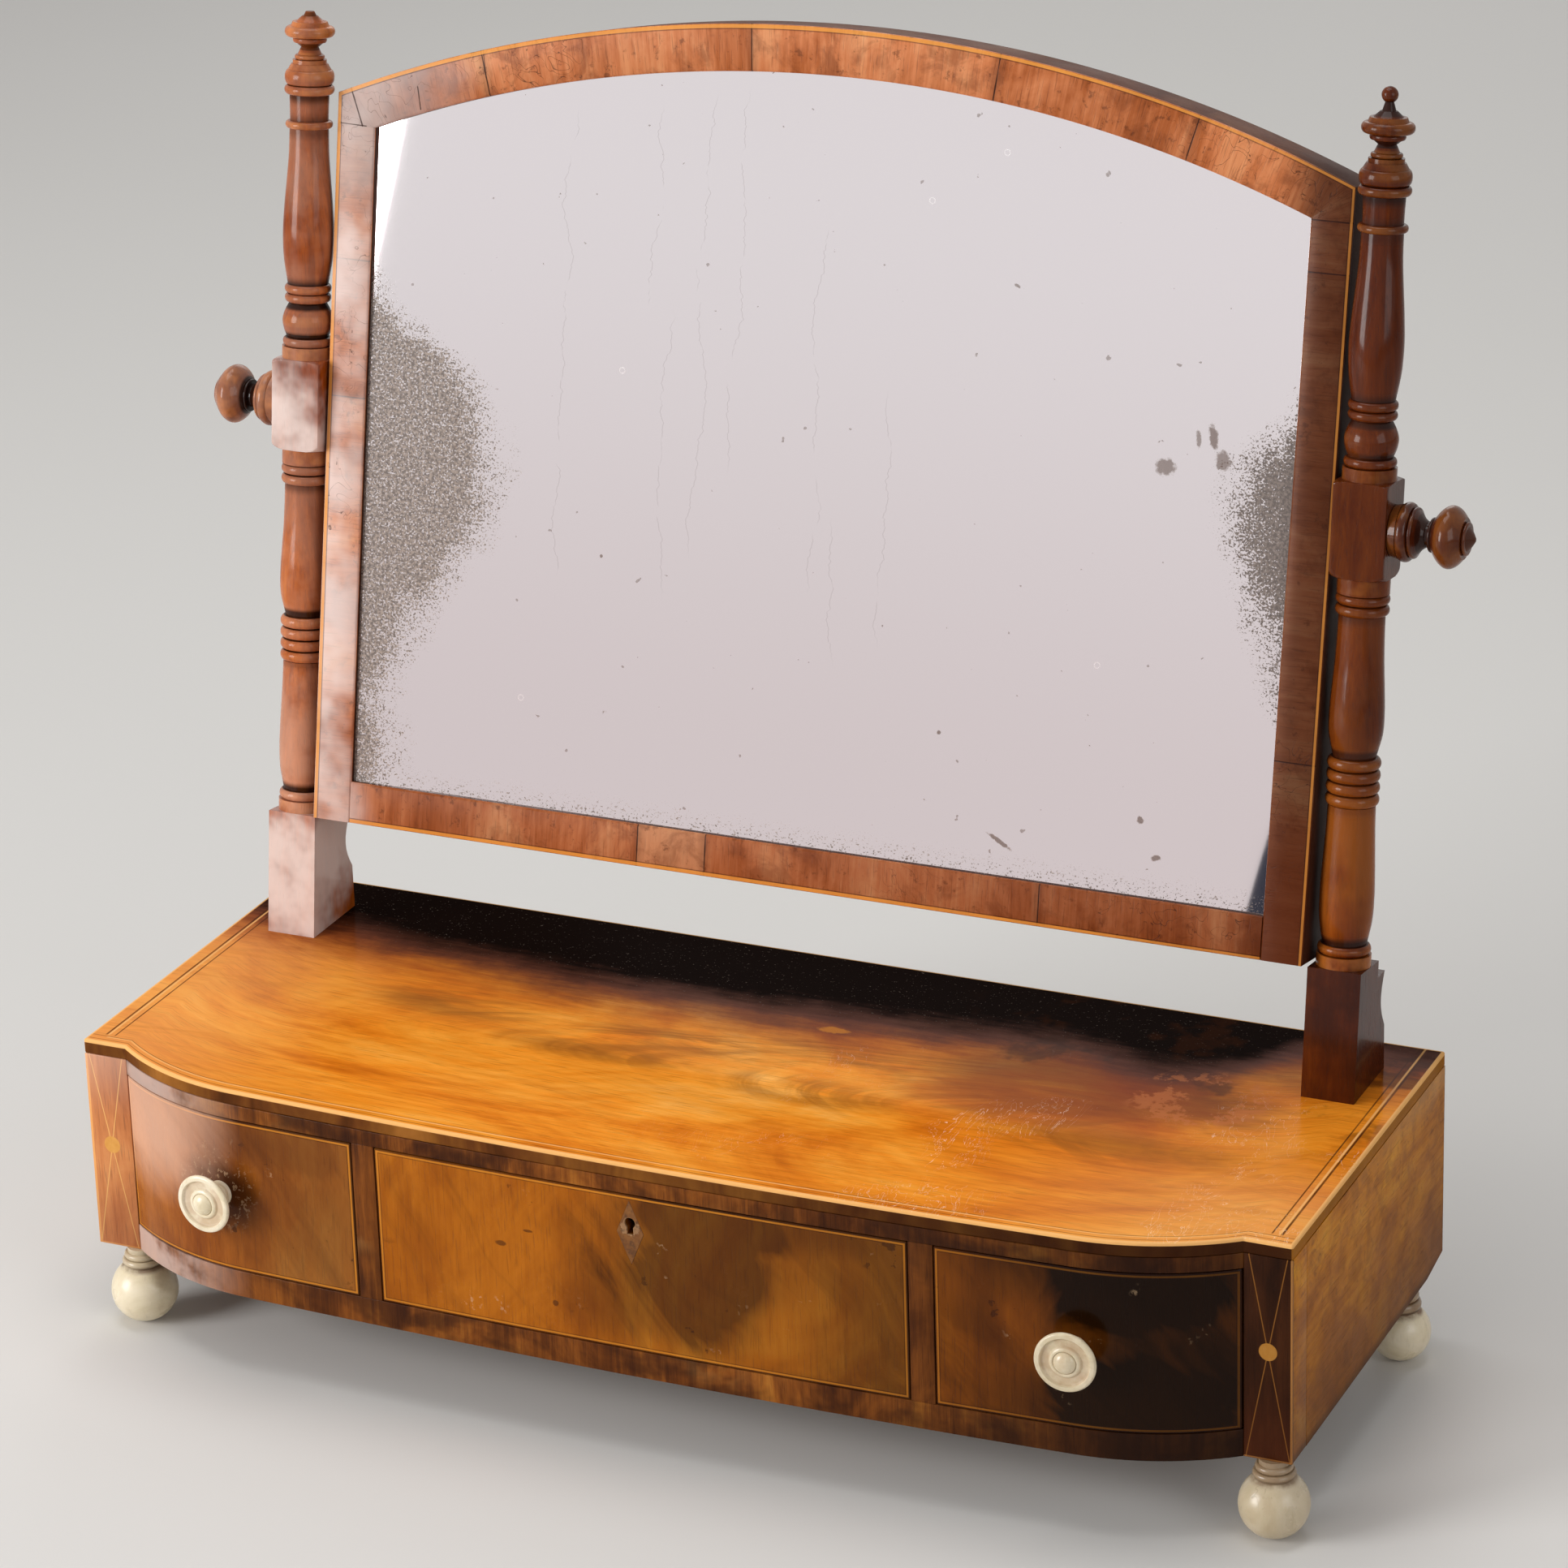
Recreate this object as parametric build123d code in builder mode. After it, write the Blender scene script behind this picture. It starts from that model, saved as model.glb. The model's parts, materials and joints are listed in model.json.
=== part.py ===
import os
from math import asin, atan2, cos, degrees, radians, sin, sqrt

from build123d import *

os.makedirs("parts", exist_ok=True)

# A bow-front dressing table mirror: a low case of three drawers on turned bone feet, and an
# arched mirror hung between two raking turned posts. Millimetres, +Z up, the floor at z = 0,
# the front towards -Y. Sizes of the case are counted from its pilaster faces and its underside.

# Case
case_width = 580.0
case_depth = 203.0
case_height = 103.0
bow_rise = 29.0  # the middle of the front stands this far before the pilasters
shoulder_drop = 4.5  # how far the bow has fallen back where its end curves start
shoulder_length = 68.0  # width of each end curve
pilaster_width = 21.7
pilaster_depth = 18.0
top_thickness = 7.0
top_rail_height = 7.2
bottom_rail_height = 12.9
rail_depth = 20.0
bottom_thickness = 8.5
side_thickness = 10.0
back_thickness = 7.0
divider_thickness = 11.2
centre_opening = 255.4
guide_height = 15.0
heel_rise = 4.0  # the sides' lower back corners are cut away
heel_length = 22.0
edge_string = 2.2  # boxwood let into the top's edge
corner_string = 1.8  # boxwood let into the pilasters' outer corners

# Feet: turned bone balls on ringed necks
foot_height = 37.5
front_ball_radius = 15.5
back_ball_radius = 13.9
neck_radius = 6.7
upper_ring_radius = 8.3
lower_ring_radius = 9.4
foot_throat = 8.0  # where the neck meets the ball
neck_shares = (0.28, 0.34, 0.38)  # the plain neck and its two rings, from the case down
spigot_radius = 3.0
spigot_length = 9.0
front_foot_inset = {"left": 19.5, "right": 9.5}  # from the case's sides to the foot's centre
back_foot_inset = 10.0
front_foot_setback = 4.5
back_foot_from_back = 29.0
foot_block_size = 24.0

# Drawers
drawer_gap = 0.4  # all round each drawer front
front_thickness = 12.0
wall_thickness = 6.0
panel_thickness = 3.0
panel_rise = 4.5
groove_depth = 3.0
wall_drop = 3.0  # the drawer sides stop this far below the front's top edge
back_drop = 8.0
drawer_back_clearance = 0.5  # a closed drawer stops just short of the back board
tail_count = 3
tail_width = 13.0
pin_width = 9.0
tail_flare = 1.6
tail_cover = 0.5  # how far the lowest tail reaches below the bottom's groove
half_pin = 2.4  # left above and below the joint
tail_lap = 3.5  # wood left before the tails
drawer_string = 2.2
string_depth = 1.2

# Bone knobs on the side drawers
knob_radius = 13.8
knob_reach = 16.5
knob_stem = 4.2
knob_rim = 1.2  # half the rim's thickness
knob_ring = 1.4
knob_dish = 1.3
knob_button = 2.4  # the button stands this far before the rim
knob_ring_outer = 0.6  # the ring's edges, as shares of the rim's radius
knob_ring_inner = 0.42
knob_waist = 0.73  # how far along the stem the dished back turns out
stem_foot_flare = 1.4
stem_top_flare = 1.1
knob_spigot_radius = 2.5
knob_spigot_length = 8.0
knob_drop = 0.05  # below the middle of the drawer front
knob_place = {"left": 209.0, "right": 202.0}

# Lock of the middle drawer
keyhole_x = -2.0
keyhole_below = 13.4  # from the front's top edge down to the keyhole's round end
keyhole_radius = 2.5
keyhole_slot = 3.0
keyhole_drop = 5.5
escutcheon_width = 13.0
escutcheon_height = 30.8
escutcheon_thickness = 1.0
escutcheon_gap = 0.4
lock_width = 44.0
lock_height = 30.0
lock_depth = 8.0
bolt_width = 16.0
bolt_thickness = 3.0
bolt_height = 17.0
bolt_travel = 4.5
lock_clearance = 0.3
chamber_radius = 6.0
chamber_depth = 5.0

# Posts
post_gap = 1.45  # between the mirror frame and each post
post_from_back = 54.0
rake = 8.0  # degrees back from upright
post_width = 24.5
bracket_reach = 28.4  # behind the post's axis, at the case's top
bracket_height = 57.5
ogee_foot = 21.0
ogee_height = 47.2
ogee_lip = 2.2
cove_depth = 5.0
tenon_width = 12.0
tenon_depth = 22.0
pivot_block_length = 42.7
lower_shoulder = 4.5
upper_shoulder = 1.8
collar_radius = 12.1
ring_radius = 11.8
swell_radius = 12.0
waist_radius = 10.3
throat_radius = 9.6
dowel_radius = 3.0
dowel_length = 8.0

# Turnings, from the bottom up, each a kind, its length and its radii: a band is straight, a bead
# goes out from its root and back, and a vase runs in arcs through evenly spaced radii
ring_length = 4.8
ring_pitch = 5.4
lower_turning = [
    ("band", 5.4, collar_radius),
    ("bead", ring_length, throat_radius, ring_radius),
    ("vase", 62.2, 9.8, 11.6, swell_radius, 11.7, 11.2, 10.7, 10.4),
    ("bead", ring_pitch, throat_radius, ring_radius),
    ("bead", ring_pitch, throat_radius, ring_radius),
    ("bead", ring_pitch, throat_radius, ring_radius),
    ("bead", ring_pitch, throat_radius, ring_radius),
    ("vase", 62.9, 9.4, 11.8, swell_radius, 11.4, 10.7, waist_radius, 10.1),
    ("bead", ring_length, throat_radius, ring_radius),
    ("bead", ring_length, throat_radius, ring_radius),
    ("band", 7.0, 11.5),
]
upper_turning = [
    ("band", 5.5, ring_radius),
    ("bead", 4.4, throat_radius, 11.5),
    ("vase", 16.0, 9.7, 11.2, 11.7, 10.6, 8.5),
    ("bead", 4.3, 8.8, 10.7),
    ("bead", 4.3, 9.0, 10.8),
    ("vase", 72.0, 9.4, 11.3, 11.8, 11.2, 10.2, 9.3, 9.0),
    ("bead", 3.6, 9.3, 10.9),
    ("band", 12.0, 8.8, 9.1),
    ("bead", 4.4, 9.6, 11.5),
    ("bead", 7.0, 9.6, 11.4),
    ("band", 2.6, 9.9, 8.4),
    ("band", 1.9, 7.8),
]
finial_turning = [
    ("bead", 2.2, 6.0, 6.9),
    ("band", 3.4, 5.6, 4.0),
    ("band", 2.0, 4.0, 6.4),
    ("bead", 2.6, 7.0, 7.8),
    ("bead", 5.0, 9.3, 11.5),
    ("band", 2.0, 8.8, 8.0),
    ("band", 2.6, 6.5, 3.6),
]
finial_neck = ("band", 3.7, 3.0, 1.9)
finial_stub = ("band", 2.0, 3.0, 2.0)
finial_ball_radius = 3.6
tilt_knob_turning = [
    ("band", 3.4, 11.2, 12.0),
    ("bead", 4.8, 11.2, 13.0),
    ("bead", 2.2, 10.2, 11.2),
    ("vase", 4.4, 10.2, 7.2, 5.6),
    ("band", 1.6, 5.4),
    ("bead", 1.4, 7.0, 7.6),
    ("vase", 13.6, 7.6, 11.8, 13.7, 12.6, 9.0),
    ("bead", 1.6, 6.7, 7.4),
    ("vase", 3.0, 5.4, 3.4, 0.9),
]

# Tilting frame
frame_inset = 46.0  # from the case's sides in to the mirror frame's
frame_side_height = 339.4
frame_crest = 387.5
frame_depth = 26.0
frame_tilt = 11.2  # degrees back from upright
stile_width = 19.2
arch_width = 21.0
frame_rail_width = 19.5
lip_thickness = 3.0
rebate_width = 6.0
plate_thickness = 3.0
plate_clearance = 0.5
backboard_thickness = 4.0
backboard_inset = 2.0
block_length = 26.0
block_width = 5.0
block_row_shares = (0.15, 0.5, 0.85)  # up the sight edge
block_column_shares = (-0.7, 0.0, 0.7)  # across half of it
frame_string = 2.0
frame_string_depth = 1.2
frame_tenon = 8.0
frame_tenon_length = 12.0
stile_tenon_length = 7.0
frame_tenon_thickness = 6.0
frame_tenon_shoulder = 2.0

# Pivot screws
pivot_height = 194.4  # along the frame from its lower edge
pivot_depth = 5.7  # behind the frame's face
screw_radius = 2.5
screw_fit = 0.05
screw_end = 0.3  # between the screw's end and the bottom of its hole
screw_in_knob = 14.0
screw_in_stile = 10.0
knob_clearance = 0.3
screw_plate_height = 26.0
screw_plate_depth = 8.0
screw_plate_thickness = 2.0

# Derived places
half_width = case_width / 2
bow_half = half_width - pilaster_width
shoulder_half = bow_half - shoulder_length
shoulder_y = shoulder_drop - bow_rise
middle_radius = (shoulder_half**2 + shoulder_drop**2) / (2 * shoulder_drop)
shoulder_slope = asin(shoulder_half / middle_radius)
end_chord = Vector(shoulder_length, -shoulder_y)
end_inward = Vector(-sin(shoulder_slope), cos(shoulder_slope))
end_radius = end_chord.length**2 / (2 * end_chord.dot(end_inward))
end_centre = Vector(shoulder_half, shoulder_y) + end_inward * end_radius
side_inner = half_width - side_thickness
back_inner = case_depth - back_thickness
rail_underside = case_height - top_thickness - top_rail_height
top_underside = case_height - top_thickness
bottom_underside = bottom_rail_height - bottom_thickness
frame_half = case_width / 2 - frame_inset
post_half = post_width / 2
post_setback = case_depth - post_from_back
post_x = frame_half + post_gap + post_half
sight_half = frame_half - stile_width
arch_rise = frame_crest - frame_side_height
arch_radius = (frame_half**2 + arch_rise**2) / (2 * arch_rise)
arch_centre = frame_crest - arch_radius
sight_radius = arch_radius - arch_width
sight_corner = arch_centre + sqrt(sight_radius**2 - sight_half**2)
lower_length = sum(feature[1] for feature in lower_turning)
pivot_along = bracket_height + lower_length + pivot_block_length / 2
upper_start = bracket_height + lower_length + pivot_block_length
finial_start = upper_start + sum(feature[1] for feature in upper_turning)
rake_angle = radians(rake)
tilt_angle = radians(frame_tilt)
pivot_y = post_setback + pivot_along * sin(rake_angle)
pivot_z = case_height + pivot_along * cos(rake_angle)
frame_y = pivot_y - pivot_depth * cos(tilt_angle) - pivot_height * sin(tilt_angle)
frame_z = pivot_z + pivot_depth * sin(tilt_angle) - pivot_height * cos(tilt_angle)


# Height of the front's curve over the pilaster faces, negative towards the viewer
def bow_y(x):
    if abs(x) <= shoulder_half:
        return middle_radius - bow_rise - sqrt(middle_radius**2 - x**2)
    return end_centre.Y - sqrt(end_radius**2 - (abs(x) - end_centre.X) ** 2)


# Angle of the front's curve, falling back on both sides
def bow_slope(x):
    if abs(x) <= shoulder_half:
        return asin(x / middle_radius)
    slope = asin((abs(x) - end_centre.X) / end_radius)
    return slope if x > 0 else -slope


# The object is centred on Y between its knobs' faces and the back of the frame's crest
front_reach = knob_reach - bow_y(min(knob_place.values()))
back_reach = frame_y + frame_crest * sin(tilt_angle) + frame_depth * cos(tilt_angle)
face_y = (front_reach - back_reach) / 2


# A point given from the pilaster faces and the case's underside
def at(x, y, z):
    return (x, face_y + y, foot_height + z)


# A box between two corners
def block(x0, x1, y0, y1, z0, z1, mode=Mode.ADD):
    with Locations(at(x0, y0, z0)):
        Box(x1 - x0, y1 - y0, z1 - z0, align=(Align.MIN, Align.MIN, Align.MIN), mode=mode)


# The front's curve moved back by shift: a long middle arc between two tighter end arcs
def draw_bow(shift):
    left_end = (-shoulder_half, shoulder_y + shift)
    right_end = (shoulder_half, shoulder_y + shift)
    middle = ThreePointArc(left_end, (0, shift - bow_rise), right_end)
    TangentArc(middle @ 1, (bow_half, shift), tangent=middle % 1)
    TangentArc(middle @ 0, (-bow_half, shift), tangent=(middle % 0) * -1)


# The solid between two shifts of the front's curve, cut to a width and a height
def band(near, far, x0, x1, z0, z1):
    with BuildPart() as strip:
        with BuildSketch(Plane(at(0, 0, z0))):
            with BuildLine():
                draw_bow(near)
                Line((bow_half, near), (bow_half, far))
                draw_bow(far)
                Line((-bow_half, far), (-bow_half, near))
            make_face()
            with Locations(((x0 + x1) / 2, 0)):
                Rectangle(x1 - x0, 2 * (case_depth + bow_rise), mode=Mode.INTERSECT)
        extrude(amount=z1 - z0)
    return strip.part


# A box whose front end follows the front's curve, moved back by shift
def behind_bow(shift, x0, x1, y1, z0, z1):
    with BuildPart() as piece:
        block(x0, x1, -2 * bow_rise, y1, z0, z1)
        add(band(-3 * bow_rise, shift, x0, x1, z0, z1), mode=Mode.SUBTRACT)
    return piece.part


# Draws a turning's half outline in the sketch's plane, x across and y along the axis
def draw_turning(features, start, tip=None):
    here = (0, start)
    for kind, length, *radii in features:
        along = here[1]
        if kind == "bead":  # never undercut
            radii[0] = max(radii[0], radii[1] - 0.45 * length)
        foot = (radii[0], along)
        top = (radii[0] if kind == "bead" else radii[-1], along + length)
        if here != foot:
            Line(here, foot)
        if kind == "band":
            Line(foot, top)
        elif kind == "bead":
            ThreePointArc(foot, (radii[1], along + length / 2), top)
        else:
            pitch = length / (len(radii) - 1)
            points = [(radius, along + pitch * step) for step, radius in enumerate(radii[:-1])] + [top]
            for step in range(0, len(points) - 2, 2):
                ThreePointArc(*points[step : step + 3])
        here = top
    if tip:
        centre = here[1] + sqrt(tip**2 - here[0] ** 2)
        ThreePointArc(here, (tip, centre), (0, centre + tip))
        Line((0, centre + tip), (0, start))
    else:
        Polyline(here, (0, here[1]), (0, start))


# A turned solid round the axis that rises from origin; across is square to it
def turned(origin, axis, across, features, start=0.0, tip=None):
    plane = Plane(origin, x_dir=across, z_dir=Vector(*across).cross(Vector(*axis)))
    with BuildPart() as piece:
        with BuildSketch(plane):
            with BuildLine():
                draw_turning(features, start, tip)
            make_face()
        revolve(axis=Axis(origin, axis))
    return piece.part


# Labels a piece and writes it
def save(part, name):
    part.label = name
    export_step(part, f"parts/{name}.step")


# How a pin that stands on a plane, or hangs from it, is aligned
standing = (Align.CENTER, Align.CENTER, Align.MIN)
hanging = (Align.CENTER, Align.CENTER, Align.MAX)

# Feet and the holes for their spigots
foot_places = {
    "front_left": (front_foot_inset["left"] - half_width, front_foot_setback, front_ball_radius),
    "front_right": (half_width - front_foot_inset["right"], front_foot_setback, front_ball_radius),
    "back_left": (back_foot_inset - half_width, case_depth - back_foot_from_back, back_ball_radius),
    "back_right": (half_width - back_foot_inset, case_depth - back_foot_from_back, back_ball_radius),
}


def cut_spigot_holes():
    for x, y, ball in foot_places.values():
        with Locations(at(x, y, 0)):
            Cylinder(spigot_radius, spigot_length, align=standing, mode=Mode.SUBTRACT)


for place, (x, y, ball) in foot_places.items():
    neck = foot_height - ball - sqrt(ball**2 - foot_throat**2)
    features = [
        ("band", spigot_length, spigot_radius),
        ("band", neck_shares[0] * neck, neck_radius),
        ("bead", neck_shares[1] * neck, neck_radius, upper_ring_radius),
        ("bead", neck_shares[2] * neck, foot_throat, lower_ring_radius),
    ]
    foot = turned(at(x, y, spigot_length), (0, 0, -1), (1, 0, 0), features, tip=ball)
    save(foot, f"foot_{place}")

# The case's plan as a slab that ends at its top, its outline drawn in by inset
def plan_slab(inset, low):
    side = half_width - inset
    rear = case_depth - inset
    with BuildPart() as slab:
        with BuildSketch(Plane(at(0, 0, low))):
            with BuildLine():
                draw_bow(inset)
                Polyline((bow_half, inset), (side, inset), (side, rear), (-side, rear), (-side, inset))
                Line((-side, inset), (-bow_half, inset))
            make_face()
        extrude(amount=case_height - low)
    return slab.part


# Case: the top, its boxwood edge, the bottom, the back and the two curved rails
with BuildPart() as top_stringing:
    add(plan_slab(0, case_height - edge_string))
    add(plan_slab(edge_string, case_height - edge_string), mode=Mode.SUBTRACT)
save(top_stringing.part, "top_stringing")

tenon_centre = post_setback + (bracket_reach - post_width / 2) / 2
with BuildPart() as top_board:
    add(plan_slab(0, top_underside))
    add(top_stringing.part, mode=Mode.SUBTRACT)
    for x in (-post_x, post_x):
        block(
            x - tenon_width / 2,
            x + tenon_width / 2,
            tenon_centre - tenon_depth / 2,
            tenon_centre + tenon_depth / 2,
            top_underside,
            case_height,
            mode=Mode.SUBTRACT,
        )
save(top_board.part, "top_board")

with BuildPart() as bottom_board:
    block(-side_inner, side_inner, -bow_rise, back_inner, bottom_underside, bottom_rail_height)
    rail_place = band(-bow_rise, rail_depth, -bow_half, bow_half, bottom_underside, bottom_rail_height)
    add(rail_place, mode=Mode.SUBTRACT)
    for x0, x1 in ((-side_inner, -bow_half), (bow_half, side_inner)):
        block(x0, x1, -bow_rise, pilaster_depth, bottom_underside, bottom_rail_height, mode=Mode.SUBTRACT)
    cut_spigot_holes()
save(bottom_board.part, "bottom_board")

with BuildPart() as back_board:
    block(-side_inner, side_inner, back_inner, case_depth, bottom_underside, top_underside)
save(back_board.part, "back_board")

bolt_y = bow_y(keyhole_x) + front_thickness - lock_depth / 2
with BuildPart() as top_rail:
    add(band(0, rail_depth, -bow_half, bow_half, rail_underside, top_underside))
    block(
        keyhole_x - bolt_width / 2 - lock_clearance,
        keyhole_x + bolt_width / 2 + lock_clearance,
        bolt_y - bolt_thickness / 2 - lock_clearance,
        bolt_y + bolt_thickness / 2 + lock_clearance,
        rail_underside,
        rail_underside + bolt_travel + lock_clearance,
        mode=Mode.SUBTRACT,
    )
save(top_rail.part, "top_rail")

with BuildPart() as bottom_rail:
    add(band(0, rail_depth, -bow_half, bow_half, 0, bottom_rail_height))
    cut_spigot_holes()
save(bottom_rail.part, "bottom_rail")

with BuildPart() as rear_foot_blocks:
    for sign in (-1, 1):
        x0, x1 = sorted((sign * side_inner, sign * (side_inner - foot_block_size)))
        block(x0, x1, back_inner - foot_block_size - spigot_length, back_inner, 0, bottom_underside)
    cut_spigot_holes()
save(rear_foot_blocks.part, "rear_foot_blocks")

# Sides, pilasters and dividers in pairs, the pilasters' boxwood corners, and the drawers' guides
divider_inner = centre_opening / 2
divider_outer = divider_inner + divider_thickness
for hand, sign in (("left", -1), ("right", 1)):
    x0, x1 = sorted((sign * side_inner, sign * half_width))
    with BuildPart() as side:
        block(x0, x1, pilaster_depth, case_depth, 0, top_underside)
        with BuildSketch(Plane(at(x0, 0, 0), x_dir=(0, 1, 0), z_dir=(1, 0, 0))):
            with BuildLine():
                heel = (case_depth - heel_length, 0)
                Polyline(heel, (case_depth, 0), (case_depth, heel_rise), close=True)
            make_face()
        extrude(amount=side_thickness, mode=Mode.SUBTRACT)
        cut_spigot_holes()
    save(side.part, f"{hand}_side")

    edge0, edge1 = sorted((sign * (half_width - corner_string), sign * half_width))
    x0, x1 = sorted((sign * bow_half, sign * half_width))
    with BuildPart() as pilaster:
        block(x0, x1, 0, pilaster_depth, 0, top_underside)
        block(edge0, edge1, 0, corner_string, 0, top_underside, mode=Mode.SUBTRACT)
        cut_spigot_holes()
    save(pilaster.part, f"{hand}_pilaster")

    x0, x1 = sorted((sign * divider_inner, sign * divider_outer))
    with BuildPart() as divider:
        add(behind_bow(0, x0, x1, back_inner, bottom_rail_height, top_underside))
        add(band(-bow_rise, rail_depth, x0, x1, rail_underside, top_underside), mode=Mode.SUBTRACT)
    save(divider.part, f"{hand}_divider")

with BuildPart() as corner_stringing:
    for x0 in (-half_width, half_width - corner_string):
        block(x0, x0 + corner_string, 0, corner_string, 0, top_underside)
save(corner_stringing.part, "corner_stringing")

with BuildPart() as drawer_guides:
    for x0, x1 in ((-side_inner, -bow_half), (bow_half, side_inner)):
        block(x0, x1, pilaster_depth, back_inner, bottom_rail_height, bottom_rail_height + guide_height)
save(drawer_guides.part, "drawer_guides")

# Drawers, each a bowed front, dovetailed sides and back, and a panel in grooves
drawer_low = bottom_rail_height + drawer_gap
drawer_high = rail_underside - drawer_gap
keyhole_height = drawer_high - keyhole_below
drawer_back = back_inner - drawer_back_clearance
wall_high = drawer_high - wall_drop
panel_low = drawer_low + panel_rise
panel_high = panel_low + panel_thickness


# Flaring dovetails across a drawer side: wide at the wide end, narrow at the narrow one
def dovetails(x0, x1, narrow_y, wide_y, low, high, count, width):
    pitch = (high - low - width) / (count - 1)
    with BuildPart() as tails:
        with BuildSketch(Plane(at(x0, 0, 0), x_dir=(0, 1, 0), z_dir=(1, 0, 0))):
            for step in range(count):
                middle = low + width / 2 + pitch * step
                narrow = width / 2 - tail_flare
                wide = width / 2
                with BuildLine():
                    Polyline(
                        (narrow_y, middle - narrow),
                        (wide_y, middle - wide),
                        (wide_y, middle + wide),
                        (narrow_y, middle + narrow),
                        close=True,
                    )
                make_face()
        extrude(amount=x1 - x0)
    return tails.part


# The tails that join one side to the front, the lowest one taking in the bottom's groove
def front_tails(x0, x1):
    outermost = max(abs(x0), abs(x1))
    front_y = bow_y(outermost)
    root_y = front_y + front_thickness + wall_thickness / 2
    low = panel_low - tail_cover - tail_flare
    high = wall_high - half_pin
    return dovetails(x0, x1, root_y, front_y + tail_lap, low, high, tail_count, tail_width)


# The pins that join one side to the back, wide towards the inside of the drawer
def back_pins(x0, x1):
    low = panel_high + half_pin
    high = drawer_high - back_drop - half_pin
    wide_y = drawer_back - wall_thickness
    return dovetails(x0, x1, drawer_back, wide_y, low, high, tail_count, pin_width)


# A boxwood line let into the edge of a drawer front
def drawer_stringing(x0, x1):
    with BuildPart() as ring:
        add(band(0, string_depth, x0, x1, drawer_low, drawer_high))
        block(
            x0 + drawer_string,
            x1 - drawer_string,
            -2 * bow_rise,
            case_depth,
            drawer_low + drawer_string,
            drawer_high - drawer_string,
            mode=Mode.SUBTRACT,
        )
    return ring.part


# The keyhole's round and its slot, through whatever the drawing builder holds
def cut_keyhole(y0, y1):
    with Locations(Plane(at(keyhole_x, y0, keyhole_height), z_dir=(0, 1, 0))):
        Cylinder(keyhole_radius, y1 - y0, align=standing, mode=Mode.SUBTRACT)
    block(
        keyhole_x - keyhole_slot / 2,
        keyhole_x + keyhole_slot / 2,
        y0,
        y1,
        keyhole_height - keyhole_drop,
        keyhole_height,
        mode=Mode.SUBTRACT,
    )


# Origin and outward direction of the knob on one hand's drawer
def knob_axis(hand):
    x = knob_place[hand] if hand == "right" else -knob_place[hand]
    slope = bow_slope(x)
    origin = at(x, bow_y(x), (drawer_low + drawer_high) / 2 - knob_drop)
    return origin, (sin(slope), -cos(slope), 0), (cos(slope), sin(slope), 0)


drawers = {
    "left": (-bow_half + drawer_gap, -divider_outer - drawer_gap),
    "centre": (-divider_inner + drawer_gap, divider_inner - drawer_gap),
    "right": (divider_outer + drawer_gap, bow_half - drawer_gap),
}
lock_back = bow_y(keyhole_x) + front_thickness
for name, (x0, x1) in drawers.items():
    walls = {"left": (x0, x0 + wall_thickness), "right": (x1 - wall_thickness, x1)}
    inner0 = x0 + wall_thickness
    inner1 = x1 - wall_thickness
    panel = behind_bow(
        front_thickness - groove_depth,
        inner0 - groove_depth,
        inner1 + groove_depth,
        drawer_back,
        panel_low,
        panel_high,
    )
    ring = drawer_stringing(x0, x1)
    save(panel, f"{name}_drawer_bottom")
    save(ring, f"{name}_drawer_stringing")

    with BuildPart() as front:
        add(band(0, front_thickness, x0, x1, drawer_low, drawer_high))
        add(ring, mode=Mode.SUBTRACT)
        add(panel, mode=Mode.SUBTRACT)
        for a, b in walls.values():
            add(front_tails(a, b), mode=Mode.SUBTRACT)
        if name == "centre":
            cut_keyhole(-2 * bow_rise, lock_back)
            block(
                keyhole_x - lock_width / 2,
                keyhole_x + lock_width / 2,
                lock_back - lock_depth,
                lock_back + wall_thickness,
                drawer_high - lock_height,
                drawer_high,
                mode=Mode.SUBTRACT,
            )
        else:
            origin, outward, across = knob_axis(name)
            with Locations(Plane(origin, x_dir=across, z_dir=outward)):
                Cylinder(
                    knob_spigot_radius,
                    knob_spigot_length,
                    align=hanging,
                    mode=Mode.SUBTRACT,
                )
    if name != "centre":
        save(front.part, f"{name}_drawer_front")
    else:
        centre_front = front.part

    for hand, (a, b) in walls.items():
        with BuildPart() as wall:
            add(behind_bow(front_thickness, a, b, drawer_back, drawer_low, wall_high))
            add(front_tails(a, b))
            add(back_pins(a, b), mode=Mode.SUBTRACT)
            add(panel, mode=Mode.SUBTRACT)
        save(wall.part, f"{name}_drawer_{hand}_wall")

    with BuildPart() as back:
        back_near = drawer_back - wall_thickness
        block(inner0, inner1, back_near, drawer_back, panel_high, drawer_high - back_drop)
        for a, b in walls.values():
            add(back_pins(a, b))
    save(back.part, f"{name}_drawer_back")

# Half outline of a drawer knob: a stem, a dished back, a raised rim, two rings and a domed button
def draw_knob():
    rim = knob_radius - knob_rim
    face = knob_reach - knob_button
    Polyline((0, 0), (knob_stem * stem_foot_flare, 0), (knob_stem * stem_foot_flare, knob_ring), (knob_stem, knob_ring))
    stem_top = knob_stem * stem_top_flare
    Line((knob_stem, knob_ring), (stem_top, face / 2))
    ThreePointArc((stem_top, face / 2), (rim * knob_ring_outer, face * knob_waist), (rim, face - 2 * knob_rim))
    ThreePointArc((rim, face - 2 * knob_rim), (knob_radius, face - knob_rim), (rim, face))
    ring_outer = rim * knob_ring_outer
    ring_inner = rim * knob_ring_inner
    Polyline(
        (rim, face),
        (rim - knob_rim, face),
        (rim - 2 * knob_rim, face - knob_dish),
        (ring_outer, face - knob_dish),
        (ring_outer - knob_ring / 2, face),
        (ring_inner, face - knob_dish / 2),
    )
    TangentArc((0, knob_reach), (ring_inner, face - knob_dish / 2), tangent=(1, 0))
    Line((0, knob_reach), (0, 0))


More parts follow.
